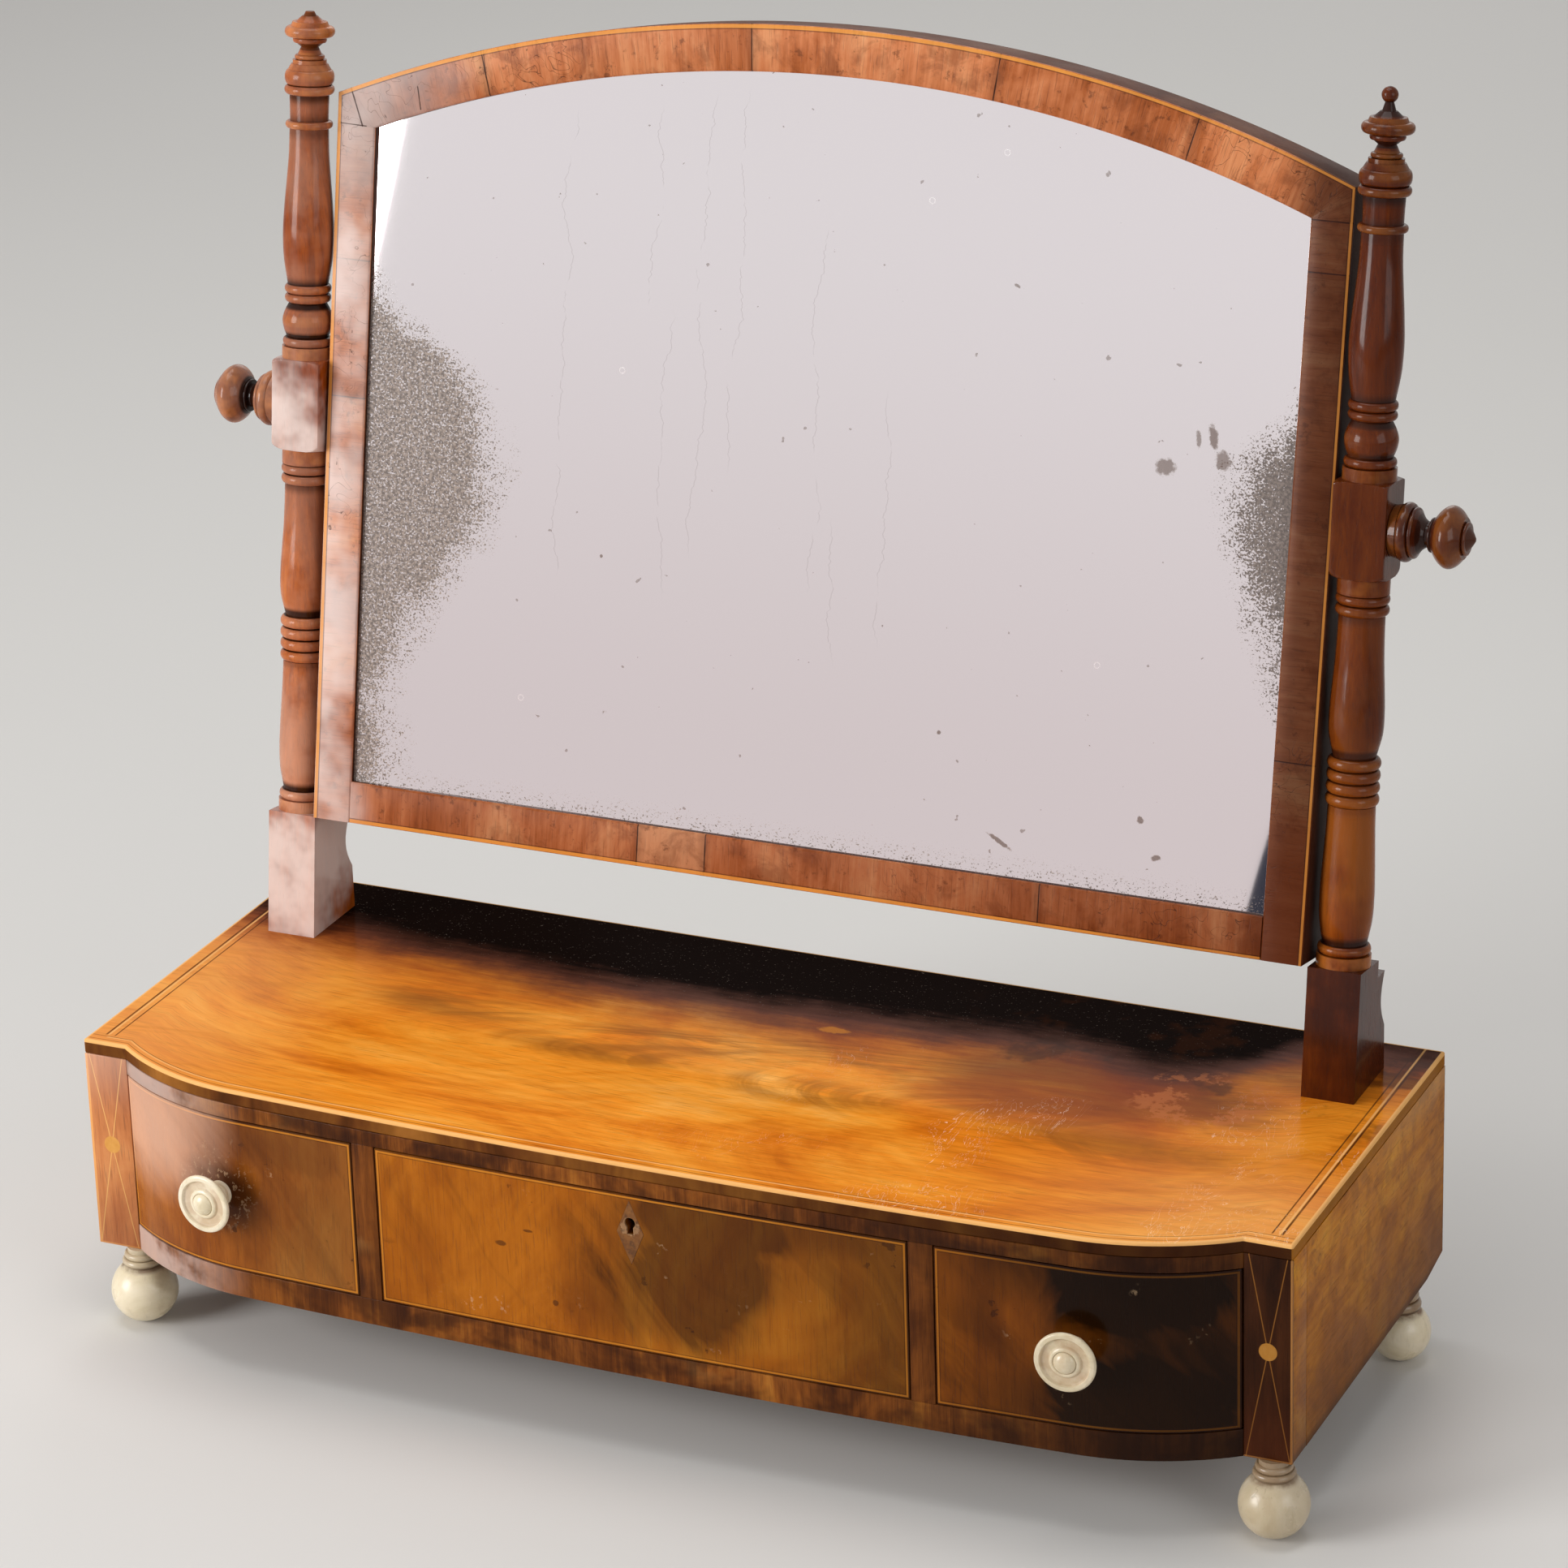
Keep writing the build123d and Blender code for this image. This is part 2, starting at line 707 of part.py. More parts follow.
for hand in ("left", "right"):
    origin, outward, across = knob_axis(hand)
    with BuildPart() as knob:
        with BuildSketch(Plane(origin, x_dir=across, z_dir=Vector(*across).cross(Vector(*outward)))):
            with BuildLine():
                draw_knob()
            make_face()
        revolve(axis=Axis(origin, outward))
        with Locations(Plane(origin, x_dir=across, z_dir=outward)):
            Cylinder(knob_spigot_radius, knob_spigot_length, align=hanging)
    save(knob.part, f"{hand}_drawer_knob")

# Escutcheon: a diamond let into the middle drawer's front, its top point just below the boxwood
escutcheon_z = drawer_high - drawer_string - escutcheon_gap - escutcheon_height / 2
with BuildPart() as escutcheon:
    diamond_middle = at(keyhole_x, -2 * bow_rise, escutcheon_z)
    with BuildSketch(Plane(diamond_middle, x_dir=(1, 0, 0), z_dir=(0, -1, 0))):
        with BuildLine():
            Polyline(
                (0, escutcheon_height / 2),
                (escutcheon_width / 2, 0),
                (0, -escutcheon_height / 2),
                (-escutcheon_width / 2, 0),
                close=True,
            )
        make_face()
    extrude(amount=-3 * bow_rise)
    add(
        band(0, escutcheon_thickness, -escutcheon_height, escutcheon_height, drawer_low, drawer_high),
        mode=Mode.INTERSECT,
    )
    cut_keyhole(-2 * bow_rise, 0)
save(escutcheon.part, "escutcheon")
with BuildPart() as front:
    add(centre_front)
    add(escutcheon.part, mode=Mode.SUBTRACT)
save(front.part, "centre_drawer_front")

# Lock let into the back of the middle drawer's front, and its bolt
bolt_high = drawer_high - lock_clearance
with BuildPart() as lock:
    block(
        keyhole_x - lock_width / 2,
        keyhole_x + lock_width / 2,
        lock_back - lock_depth,
        lock_back,
        drawer_high - lock_height,
        drawer_high,
    )
    block(
        keyhole_x - bolt_width / 2 - lock_clearance,
        keyhole_x + bolt_width / 2 + lock_clearance,
        bolt_y - bolt_thickness / 2 - lock_clearance,
        bolt_y + bolt_thickness / 2 + lock_clearance,
        bolt_high - bolt_height - lock_clearance,
        drawer_high,
        mode=Mode.SUBTRACT,
    )
    with Locations(Plane(at(keyhole_x, bolt_y, keyhole_height), z_dir=(0, 1, 0))):
        Cylinder(chamber_radius, chamber_depth, mode=Mode.SUBTRACT)
    cut_keyhole(lock_back - lock_depth, bolt_y)
save(lock.part, "drawer_lock")

with BuildPart() as bolt:
    block(
        keyhole_x - bolt_width / 2,
        keyhole_x + bolt_width / 2,
        bolt_y - bolt_thickness / 2,
        bolt_y + bolt_thickness / 2,
        bolt_high - bolt_height,
        bolt_high,
    )
    block(
        keyhole_x - keyhole_radius,
        keyhole_x + keyhole_radius,
        bolt_y - bolt_thickness / 2,
        bolt_y + bolt_thickness / 2,
        bolt_high - bolt_height,
        bolt_high - bolt_height + keyhole_drop,
        mode=Mode.SUBTRACT,
    )
save(bolt.part, "lock_bolt")

# Posts: a bracketed square base, two lengths of turning, and the pivot block between them
axis_up = (0, sin(rake_angle), cos(rake_angle))


# A point beside the post's axis: along it from the case's top, and behind it
def beside_axis(along, behind):
    return (
        post_setback + along * sin(rake_angle) + behind * cos(rake_angle),
        along * cos(rake_angle) - behind * sin(rake_angle),
    )


def draw_bracket():
    back = post_setback + bracket_reach
    front_foot = (post_setback - post_half / cos(rake_angle), 0)
    front_top = beside_axis(bracket_height, -post_half)
    back_top = beside_axis(bracket_height, post_half)
    above_lip = beside_axis(ogee_height + ogee_lip, post_half)
    Polyline((back, 0), front_foot, front_top, back_top, above_lip, (back, ogee_height))
    cove = (back - cove_depth, (ogee_height + ogee_foot) / 2)
    ThreePointArc((back, ogee_height), cove, (back, ogee_foot))
    Line((back, ogee_foot), (back, 0))


# The square block that carries the pivot, its corners rounded off by the lathe at both ends
def pivot_block(origin):
    corner = post_half * sqrt(2)
    low = bracket_height + lower_length
    plane = Plane(origin, x_dir=(1, 0, 0), z_dir=Vector(1, 0, 0).cross(Vector(*axis_up)))
    with BuildPart() as shape:
        with BuildSketch(plane):
            with BuildLine():
                Line((0, low), (collar_radius, low))
                rounded = (corner - lower_shoulder * 0.3, low + lower_shoulder * 0.35)
                ThreePointArc((collar_radius, low), rounded, (corner, low + lower_shoulder))
                Polyline(
                    (corner, low + lower_shoulder),
                    (corner, upper_start - upper_shoulder),
                    (collar_radius, upper_start),
                    (0, upper_start),
                    (0, low),
                )
            make_face()
        revolve(axis=Axis(origin, axis_up))
        with BuildSketch(plane.offset(-post_half)):
            with Locations((0, (low + upper_start) / 2)):
                Rectangle(post_width, pivot_block_length)
        extrude(amount=post_width, mode=Mode.INTERSECT)
    return shape.part


for hand, sign in (("left", -1), ("right", 1)):
    x = sign * post_x
    foot_point = at(x, post_setback, case_height)
    dowel_foot = Vector(*foot_point) + Vector(*axis_up) * (finial_start - dowel_length)
    with BuildPart() as post:
        with BuildSketch(Plane(at(x - post_half, 0, case_height), x_dir=(0, 1, 0), z_dir=(1, 0, 0))):
            with BuildLine():
                draw_bracket()
            make_face()
        extrude(amount=post_width)
        add(turned(foot_point, axis_up, (1, 0, 0), lower_turning, bracket_height))
        add(pivot_block(foot_point))
        add(turned(foot_point, axis_up, (1, 0, 0), upper_turning, upper_start))
        block(
            x - tenon_width / 2,
            x + tenon_width / 2,
            tenon_centre - tenon_depth / 2,
            tenon_centre + tenon_depth / 2,
            top_underside,
            case_height,
        )
        with Locations(Plane(at(x, pivot_y, pivot_z), z_dir=(1, 0, 0))):
            Cylinder(screw_radius + screw_fit, post_width, mode=Mode.SUBTRACT)
        with Locations(Plane(dowel_foot, z_dir=axis_up)):
            Cylinder(dowel_radius, dowel_length, align=standing, mode=Mode.SUBTRACT)
    save(post.part, f"{hand}_post")

    # The left finial has lost its ball, as the photographed one has
    with BuildPart() as finial:
        if hand == "left":
            features = finial_turning + [finial_stub]
            add(turned(foot_point, axis_up, (1, 0, 0), features, finial_start))
        else:
            features = finial_turning + [finial_neck]
            add(turned(foot_point, axis_up, (1, 0, 0), features, finial_start, finial_ball_radius))
        with Locations(Plane(dowel_foot, z_dir=axis_up)):
            Cylinder(dowel_radius, dowel_length, align=standing)
    save(finial.part, f"{hand}_finial")

    # Turned knob outside the post and the iron screw that it drives through to the frame
    outward = (sign, 0, 0)
    knob_foot = at(sign * (post_x + post_half + knob_clearance), pivot_y, pivot_z)
    screw_start = sign * (frame_half - screw_in_stile)
    screw_length = post_x + post_half + knob_clearance + screw_in_knob - frame_half + screw_in_stile
    with BuildPart() as screw:
        with Locations(Plane(at(screw_start, pivot_y, pivot_z), z_dir=outward)):
            Cylinder(screw_radius, screw_length, align=standing)
    save(screw.part, f"{hand}_tilt_screw")
    with BuildPart() as tilt_knob:
        add(turned(knob_foot, outward, (0, 0, 1), tilt_knob_turning))
        add(screw.part, mode=Mode.SUBTRACT)
    save(tilt_knob.part, f"{hand}_tilt_knob")

# Tilting frame, drawn on planes parallel to its face: x across, y up along the frame
frame_normal = (0, -cos(tilt_angle), sin(tilt_angle))
frame_face = Plane(at(0, frame_y, frame_z), x_dir=(1, 0, 0), z_dir=frame_normal)


# An arched outline between two depths behind the frame's face
def arched(half, bottom, radius, near, far):
    corner = arch_centre + sqrt(radius**2 - half**2)
    with BuildPart() as shape:
        with BuildSketch(frame_face.offset(-near)):
            with BuildLine():
                Polyline((-half, corner), (-half, bottom), (half, bottom), (half, corner))
                ThreePointArc((half, corner), (0, arch_centre + radius), (-half, corner))
            make_face()
        extrude(amount=near - far)
    return shape.part


# A box in the frame's own directions
def frame_block(x0, x1, low, high, near, far, mode=Mode.ADD):
    with BuildSketch(frame_face.offset(-near)) as outline:
        with Locations(((x0 + x1) / 2, (low + high) / 2)):
            Rectangle(x1 - x0, high - low)
    extrude(outline.sketch, amount=near - far, mode=mode)


whole = arched(frame_half, 0, arch_radius, 0, frame_depth)
sight = arched(sight_half, frame_rail_width, sight_radius, 0, frame_depth)
rebate = arched(
    sight_half + rebate_width,
    frame_rail_width - rebate_width,
    sight_radius + rebate_width,
    lip_thickness,
    frame_depth,
)
string_inner = arched(
    frame_half - frame_string, frame_string, arch_radius - frame_string, 0, frame_string_depth
)
with BuildPart() as frame_stringing:
    add(arched(frame_half, 0, arch_radius, 0, frame_string_depth))
    add(string_inner, mode=Mode.SUBTRACT)
save(frame_stringing.part, "frame_stringing")

tenon_near = (frame_depth - frame_tenon_thickness) / 2
tenon_far = tenon_near + frame_tenon_thickness
post_tenon_inner = sight_half + rebate_width + frame_tenon_shoulder
rail_tenon_low = (frame_rail_width - rebate_width - frame_tenon) / 2


def rail_tenon(sign, mode):
    x0, x1 = sorted((sign * sight_half, sign * (sight_half + frame_tenon_length)))
    frame_block(x0, x1, rail_tenon_low, rail_tenon_low + frame_tenon, tenon_near, tenon_far, mode)


def stile_tenon(sign, mode):
    x0, x1 = sorted((sign * post_tenon_inner, sign * (post_tenon_inner + frame_tenon)))
    frame_block(x0, x1, sight_corner, sight_corner + stile_tenon_length, tenon_near, tenon_far, mode)


with BuildPart() as frame_top_rail:
    add(whole)
    add(sight, mode=Mode.SUBTRACT)
    add(rebate, mode=Mode.SUBTRACT)
    add(frame_stringing.part, mode=Mode.SUBTRACT)
    frame_block(-frame_half, frame_half, 0, sight_corner, 0, frame_depth, Mode.SUBTRACT)
    for sign in (-1, 1):
        stile_tenon(sign, Mode.SUBTRACT)
save(frame_top_rail.part, "frame_top_rail")

with BuildPart() as frame_bottom_rail:
    frame_block(-sight_half, sight_half, 0, frame_rail_width, 0, frame_depth)
    add(rebate, mode=Mode.SUBTRACT)
    add(frame_stringing.part, mode=Mode.SUBTRACT)
    for sign in (-1, 1):
        rail_tenon(sign, Mode.ADD)
save(frame_bottom_rail.part, "frame_bottom_rail")

# Iron plates that guard the stiles' edges round the pivot screws
plate_low = pivot_height - screw_plate_height / 2
plate_high = plate_low + screw_plate_height
plate_near = pivot_depth - screw_plate_depth / 2
plate_far = pivot_depth + screw_plate_depth / 2
with BuildPart() as screw_plates:
    for x0 in (-frame_half, frame_half - screw_plate_thickness):
        x1 = x0 + screw_plate_thickness
        frame_block(x0, x1, plate_low, plate_high, plate_near, plate_far)


# Bores both of the frame's edges for the pivot screws
def bore_edges():
    for side in (-frame_half, frame_half):
        with Locations(Plane(at(side, pivot_y, pivot_z), z_dir=(1, 0, 0))):
            Cylinder(screw_radius + screw_fit, 2 * (screw_in_stile + screw_end), mode=Mode.SUBTRACT)


for hand, sign in (("left", -1), ("right", 1)):
    x0, x1 = sorted((sign * sight_half, sign * frame_half))
    with BuildPart() as stile:
        frame_block(x0, x1, 0, sight_corner, 0, frame_depth)
        add(rebate, mode=Mode.SUBTRACT)
        add(frame_stringing.part, mode=Mode.SUBTRACT)
        add(screw_plates.part, mode=Mode.SUBTRACT)
        rail_tenon(sign, Mode.SUBTRACT)
        stile_tenon(sign, Mode.ADD)
        bore_edges()
    save(stile.part, f"frame_{hand}_stile")

with BuildPart() as bored_plates:
    add(screw_plates.part)
    bore_edges()
save(bored_plates.part, "screw_plates")

# Mirror plate, the blocks that wedge it in its rebate, and the board behind it
fill = rebate_width - plate_clearance
fill_half = sight_half + fill
fill_low = frame_rail_width - fill
plate_back = lip_thickness + plate_thickness
board_near = frame_depth - backboard_inset - backboard_thickness
board_far = board_near + backboard_thickness
save(arched(fill_half, fill_low, sight_radius + fill, lip_thickness, plate_back), "mirror_plate")
save(arched(fill_half, fill_low, sight_radius + fill, board_near, board_far), "frame_backboard")

block_inner = sight_half + rebate_width - block_width
block_rows = [frame_rail_width + (sight_corner - frame_rail_width) * share for share in block_row_shares]
block_columns = [sight_half * share for share in block_column_shares]
with BuildPart() as plate_blocks:
    for middle in block_rows:
        low = middle - block_length / 2
        for x0 in (-block_inner - block_width, block_inner):
            frame_block(x0, x0 + block_width, low, low + block_length, plate_back, board_near)
    for middle in block_columns:
        left = middle - block_length / 2
        low = frame_rail_width - rebate_width
        frame_block(left, left + block_length, low, low + block_width, plate_back, board_near)
save(plate_blocks.part, "plate_blocks")

print("face y", face_y)
print("pivot", at(0, pivot_y, pivot_z))
print("frame's lower front edge", at(0, frame_y, frame_z))
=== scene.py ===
import json
import math

import bmesh
import bpy
import numpy as np
from mathutils import Matrix, Vector


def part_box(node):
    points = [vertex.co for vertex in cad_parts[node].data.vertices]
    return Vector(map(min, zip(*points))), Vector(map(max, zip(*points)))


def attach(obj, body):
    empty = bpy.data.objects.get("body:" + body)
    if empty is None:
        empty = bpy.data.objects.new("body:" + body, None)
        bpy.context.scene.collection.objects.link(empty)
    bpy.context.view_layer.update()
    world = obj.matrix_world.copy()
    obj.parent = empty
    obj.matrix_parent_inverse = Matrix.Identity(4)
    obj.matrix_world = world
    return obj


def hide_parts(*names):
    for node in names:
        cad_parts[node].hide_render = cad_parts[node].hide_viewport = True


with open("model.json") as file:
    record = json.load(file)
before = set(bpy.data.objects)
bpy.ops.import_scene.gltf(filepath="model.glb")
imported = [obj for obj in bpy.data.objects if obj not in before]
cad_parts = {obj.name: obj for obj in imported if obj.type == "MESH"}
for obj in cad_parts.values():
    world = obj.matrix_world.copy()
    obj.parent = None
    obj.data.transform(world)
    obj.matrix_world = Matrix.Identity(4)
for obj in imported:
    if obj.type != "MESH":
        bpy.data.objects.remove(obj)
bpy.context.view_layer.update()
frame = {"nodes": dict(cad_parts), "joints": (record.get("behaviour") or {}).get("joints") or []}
nodes = frame["nodes"]
joints = {joint["name"]: joint for joint in frame["joints"]}
mm = 0.001
print("frame loaded,", len(nodes), "nodes")

# Where the case stands, read from its own nodes
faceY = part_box("left_pilaster")[0].y
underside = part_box("left_pilaster")[0].z
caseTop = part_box("top_board")[1].z
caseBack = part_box("top_board")[1].y
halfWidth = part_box("top_board")[1].x
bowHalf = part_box("right_pilaster")[0].x
pivot = Vector(joints["mirror_tilt"]["pos_m"])

# The bow: its rise, the drop to its shoulders and their width
bow = {"rise": 29.0 * mm, "drop": 4.5 * mm, "shoulder": 68.0 * mm}
bow["half"] = bowHalf - bow["shoulder"]
bow["middleRadius"] = (bow["half"] ** 2 + bow["drop"] ** 2) / (2 * bow["drop"])
bowStart = Vector((bow["half"], bow["drop"] - bow["rise"]))
bowChord = Vector((bow["shoulder"], -bowStart.y))
bowTurn = math.asin(bow["half"] / bow["middleRadius"])
bowInward = Vector((-math.sin(bowTurn), math.cos(bowTurn)))
bow["endRadius"] = bowChord.length_squared / (2 * bowChord.dot(bowInward))
bowEnd = bowStart + bowInward * bow["endRadius"]


def bowDepth(x):
    # how far the front stands before the pilasters: a long arc, then a tighter one at each end, then none
    across = np.abs(np.asarray(x, dtype=float))
    reach = np.minimum(across, bow["half"])
    middle = bow["middleRadius"] - bow["rise"] - np.sqrt(bow["middleRadius"] ** 2 - reach**2)
    beyond = np.clip(across - bowEnd.x, 0, bow["endRadius"])
    ends = bowEnd.y - np.sqrt(bow["endRadius"] ** 2 - beyond**2)
    return np.where(across <= bow["half"], middle, np.where(across < bowHalf, ends, 0.0))


# Camera: the place and lens solved from the photograph's own edges
cameraPlace = {
    "position": (0.98658, faceY - 1.98825, underside + 1.17807),
    "azimuth": 24.847,
    "elevation": 21.453,
    "roll": -1.833,
    "lens": 130.016,
    "sensor": 36.0,
    "shiftY": -0.05487,
}


def makeCamera(place):
    azimuth, elevation, roll = (math.radians(place[key]) for key in ("azimuth", "elevation", "roll"))
    level = math.cos(elevation)
    back = Vector((math.sin(azimuth) * level, -math.cos(azimuth) * level, math.sin(elevation)))
    right = (-back).cross(Vector((0, 0, 1))).normalized()
    up = right.cross(-back)
    rolledRight = right * math.cos(roll) + up * math.sin(roll)
    rolledUp = up * math.cos(roll) - right * math.sin(roll)
    data = bpy.data.cameras.new("photoCamera")
    data.sensor_width = place["sensor"]
    data.lens = place["lens"]
    data.shift_y = place["shiftY"]
    data.clip_start, data.clip_end = 0.05, 60.0
    camera = bpy.data.objects.new("photoCamera", data)
    turn = Matrix((rolledRight, rolledUp, back)).transposed().to_4x4()
    camera.matrix_world = Matrix.Translation(place["position"]) @ turn
    bpy.context.scene.collection.objects.link(camera)
    bpy.context.scene.camera = camera


makeCamera(cameraPlace)
bpy.context.scene.view_settings.view_transform = "Standard"
print("camera placed")


# Shader writing: a wire is one socket's value, and sums on wires add Math nodes
class Wire:
    def __init__(self, shader, socket):
        self.shader = shader
        self.socket = socket

    def math(self, operation, *others):
        return self.shader.node("ShaderNodeMath", {"operation": operation}, [self, *others])

    def __add__(self, other):
        return self.math("ADD", other)

    __radd__ = __add__

    def __sub__(self, other):
        return self.math("SUBTRACT", other)

    def __rsub__(self, other):
        return self.shader.node("ShaderNodeMath", {"operation": "SUBTRACT"}, [other, self])

    def __mul__(self, other):
        return self.math("MULTIPLY", other)

    __rmul__ = __mul__

    def __neg__(self):
        return self.math("MULTIPLY", -1.0)

    def __abs__(self):
        return self.math("ABSOLUTE")

    def least(self, other):
        return self.math("MINIMUM", other)

    def most(self, other):
        return self.math("MAXIMUM", other)

    def under(self, limit, soft=0.0002):  # 1 below the limit, 0 above it
        return self.rise(limit + soft, limit - soft)

    def over(self, limit, soft=0.0002):
        return self.rise(limit - soft, limit + soft)

    def within(self, low, high, soft):
        return self.over(low, soft) * self.under(high, soft)

    def rise(self, low, high):  # 0 at low, 1 at high, smooth between
        settings = {"interpolation_type": "SMOOTHSTEP"}
        return self.shader.node("ShaderNodeMapRange", settings, {0: self, 1: low, 2: high, 3: 0.0, 4: 1.0})

    def part(self, index):  # one component of a vector wire
        return self.shader.node("ShaderNodeSeparateXYZ", {}, [self], index)

    def noise(self, scale, detail=3.0, roughness=0.5, distortion=0.0, stretch=(1, 1, 1), colour=False):
        place = self if stretch == (1, 1, 1) else self.shader.vector("MULTIPLY", self, stretch)
        inputs = {"Vector": place, "Scale": scale, "Detail": detail, "Roughness": roughness, "Distortion": distortion}
        return self.shader.node("ShaderNodeTexNoise", {}, inputs, 1 if colour else 0)


class Shader:
    def __init__(self, name):
        self.material = bpy.data.materials.new(name)
        self.material.use_nodes = True
        self.tree = self.material.node_tree
        self.tree.nodes.clear()
        self.surface = self.tree.nodes.new("ShaderNodeBsdfPrincipled")
        self.output = self.tree.nodes.new("ShaderNodeOutputMaterial")
        self.tree.links.new(self.surface.outputs[0], self.output.inputs[0])

    def node(self, kind, settings=None, inputs=None, output=0):
        made = self.tree.nodes.new(kind)
        for key, value in (settings or {}).items():
            setattr(made, key, value)
        pairs = inputs.items() if isinstance(inputs, dict) else enumerate(inputs or [])
        for key, value in pairs:
            if isinstance(value, Wire):
                self.tree.links.new(value.socket, made.inputs[key])
            else:
                made.inputs[key].default_value = value
        return Wire(self, made.outputs[output])

    def place(self):  # object coordinates, in metres
        return self.node("ShaderNodeTexCoord", output=3)

    def own(self, name):  # one of the piece's own attributes, as a vector
        return self.node("ShaderNodeAttribute", {"attribute_name": name}, output=1)

    def vector(self, operation, *values):
        return self.node("ShaderNodeVectorMath", {"operation": operation}, list(values))

    def bent(self, place, drift, reach):  # a place moved by a coloured noise, its reach given for each axis
        return self.vector("ADD", place, self.vector("MULTIPLY", drift, reach))

    def along(self, line, up):  # how far a place lies along a line
        return self.node("ShaderNodeVectorMath", {"operation": "DOT_PRODUCT"}, [line, up], 1)

    def curve(self, across, points):  # a height read off a curve through the points
        made = self.node("ShaderNodeFloatCurve", {}, {1: across})
        mapping = made.socket.node.mapping
        mapping.use_clip = False
        own = mapping.curves[0].points
        own[0].location, own[1].location = points[0], points[-1]
        for place in points[1:-1]:
            own.new(*place)
        mapping.update()
        return made

    def joined(self, x, y, z):
        return self.node("ShaderNodeCombineXYZ", {}, [x, y, z])

    def mix(self, factor, below, above):
        settings = {"data_type": "RGBA", "clamp_factor": True}
        return self.node("ShaderNodeMix", settings, {0: factor, 6: below, 7: above}, 2)

    def lay(self, amount, above):  # lays a tint over the colour made so far
        if isinstance(above, str):
            above = tint(above)
        self.colour = self.mix(amount, self.colour, above)

    def ramp(self, factor, stops):
        made = self.node("ShaderNodeValToRGB", {}, [factor])
        elements = made.socket.node.color_ramp.elements
        while len(elements) < len(stops):
            elements.new(0.5)
        for element, (place, code) in zip(elements, stops):
            element.position, element.color = place, tint(code)
        return made

    def bump(self, height, depth):  # depth in metres for a height of 1
        return self.node("ShaderNodeBump", {}, {"Strength": 1.0, "Distance": depth, "Height": height})

    def set(self, **values):
        for key, value in values.items():
            socket = self.surface.inputs[key.replace("_", " ")]
            if isinstance(value, Wire):
                self.tree.links.new(value.socket, socket)
            else:
                socket.default_value = value
        return self.material


def away(across, up, spot):
    # squared distance from a spot's middle, with its half width and half height as the units
    middleAcross, middleUp, wide, high = spot
    offAcross, offUp = (across - middleAcross) * (1 / wide), (up - middleUp) * (1 / high)
    return offAcross * offAcross + offUp * offUp


def tint(code):
    # a colour written as its screen value, made linear
    parts = [int(code[start : start + 2], 16) / 255 for start in (0, 2, 4)]
    linear = [part / 12.92 if part <= 0.04045 else ((part + 0.055) / 1.055) ** 2.4 for part in parts]
    return (*linear, 1.0)


# New pieces
def prepared(mesh):
    # merges seams and poles and turns the faces outwards
    work = bmesh.new()
    work.from_mesh(mesh)
    bmesh.ops.remove_doubles(work, verts=work.verts, dist=1e-6)
    bmesh.ops.recalc_face_normals(work, faces=work.faces)
    work.to_mesh(mesh)
    work.free()
    return mesh


def finishPiece(name, shape, body, node, material, sharp=35.0):
    # shape is a mesh or a list of grids; it is shaded smoothly up to the sharp angle and handed to its body
    mesh = prepared(gridMesh(name, shape) if isinstance(shape, list) else shape)
    mesh.shade_smooth()
    mesh.set_sharp_from_angle(angle=math.radians(sharp))
    piece = bpy.data.objects.new(name, mesh)
    bpy.context.scene.collection.objects.link(piece)
    mesh.materials.append(material)
    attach(piece, body)
    if node:
        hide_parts(*([node] if isinstance(node, str) else node))
    return piece


def setMaterial(names, material):
    # gives nodes of the CAD that stay in sight their material
    for name in names:
        data = nodes[name].data
        data.materials.clear()
        data.materials.append(material)


def gridMesh(name, grids):
    # grids of points, each closed round its second index and capped at both ends of its first
    points, faces, own = [], [], {}
    start = 0
    for grid, attributes in grids:
        rows, columns, _ = grid.shape
        index = start + np.arange(rows * columns).reshape(rows, columns)
        turned = np.roll(index, -1, axis=1)
        quads = np.stack([index[:-1], turned[:-1], turned[1:], index[1:]], axis=-1).reshape(-1, 4)
        faces += quads.tolist()
        faces += [index[0].tolist(), index[-1][::-1].tolist()]
        points.append(grid.reshape(-1, 3))
        for key, values in attributes.items():
            own.setdefault(key, []).append(values.reshape(-1, values.shape[-1]))
        start += rows * columns
    mesh = bpy.data.meshes.new(name)
    mesh.from_pydata(np.concatenate(points).tolist(), [], faces)
    for key, values in own.items():
        layer = mesh.attributes.new(key, "FLOAT_VECTOR", "POINT")
        layer.data.foreach_set("vector", np.concatenate(values).astype(np.float32).ravel())
    mesh.update()
    return mesh


def prism(name, outline, front, back):
    # an outline in X and Z, in metres, carried along Y
    rings = [np.column_stack([outline[:, 0], np.full(len(outline), y), outline[:, 1]]) for y in (front, back)]
    return gridMesh(name, [(np.array(rings), {})])


def rectangle(x0, x1, z0, z1):
    return np.array([(x0, z0), (x0, z1), (x1, z1), (x1, z0)])


def cutFrom(name, mesh, cutters):
    # takes the cutters' shapes out of a mesh and returns the result as a new one
    solid = bpy.data.objects.new("solidToCut", prepared(mesh))
    bpy.context.scene.collection.objects.link(solid)
    tools = []
    for cutter in cutters:
        tool = bpy.data.objects.new("cutter", prepared(cutter))
        bpy.context.scene.collection.objects.link(tool)
        step = solid.modifiers.new("cut", "BOOLEAN")
        step.operation, step.solver, step.object = "DIFFERENCE", "EXACT", tool
        tools.append(tool)
    bpy.context.view_layer.update()
    result = bpy.data.meshes.new_from_object(solid.evaluated_get(bpy.context.evaluated_depsgraph_get()))
    for thing in [solid, *tools]:
        old = thing.data
        bpy.data.objects.remove(thing)
        bpy.data.meshes.remove(old)
    result.materials.clear()
    result.name = name
    return result


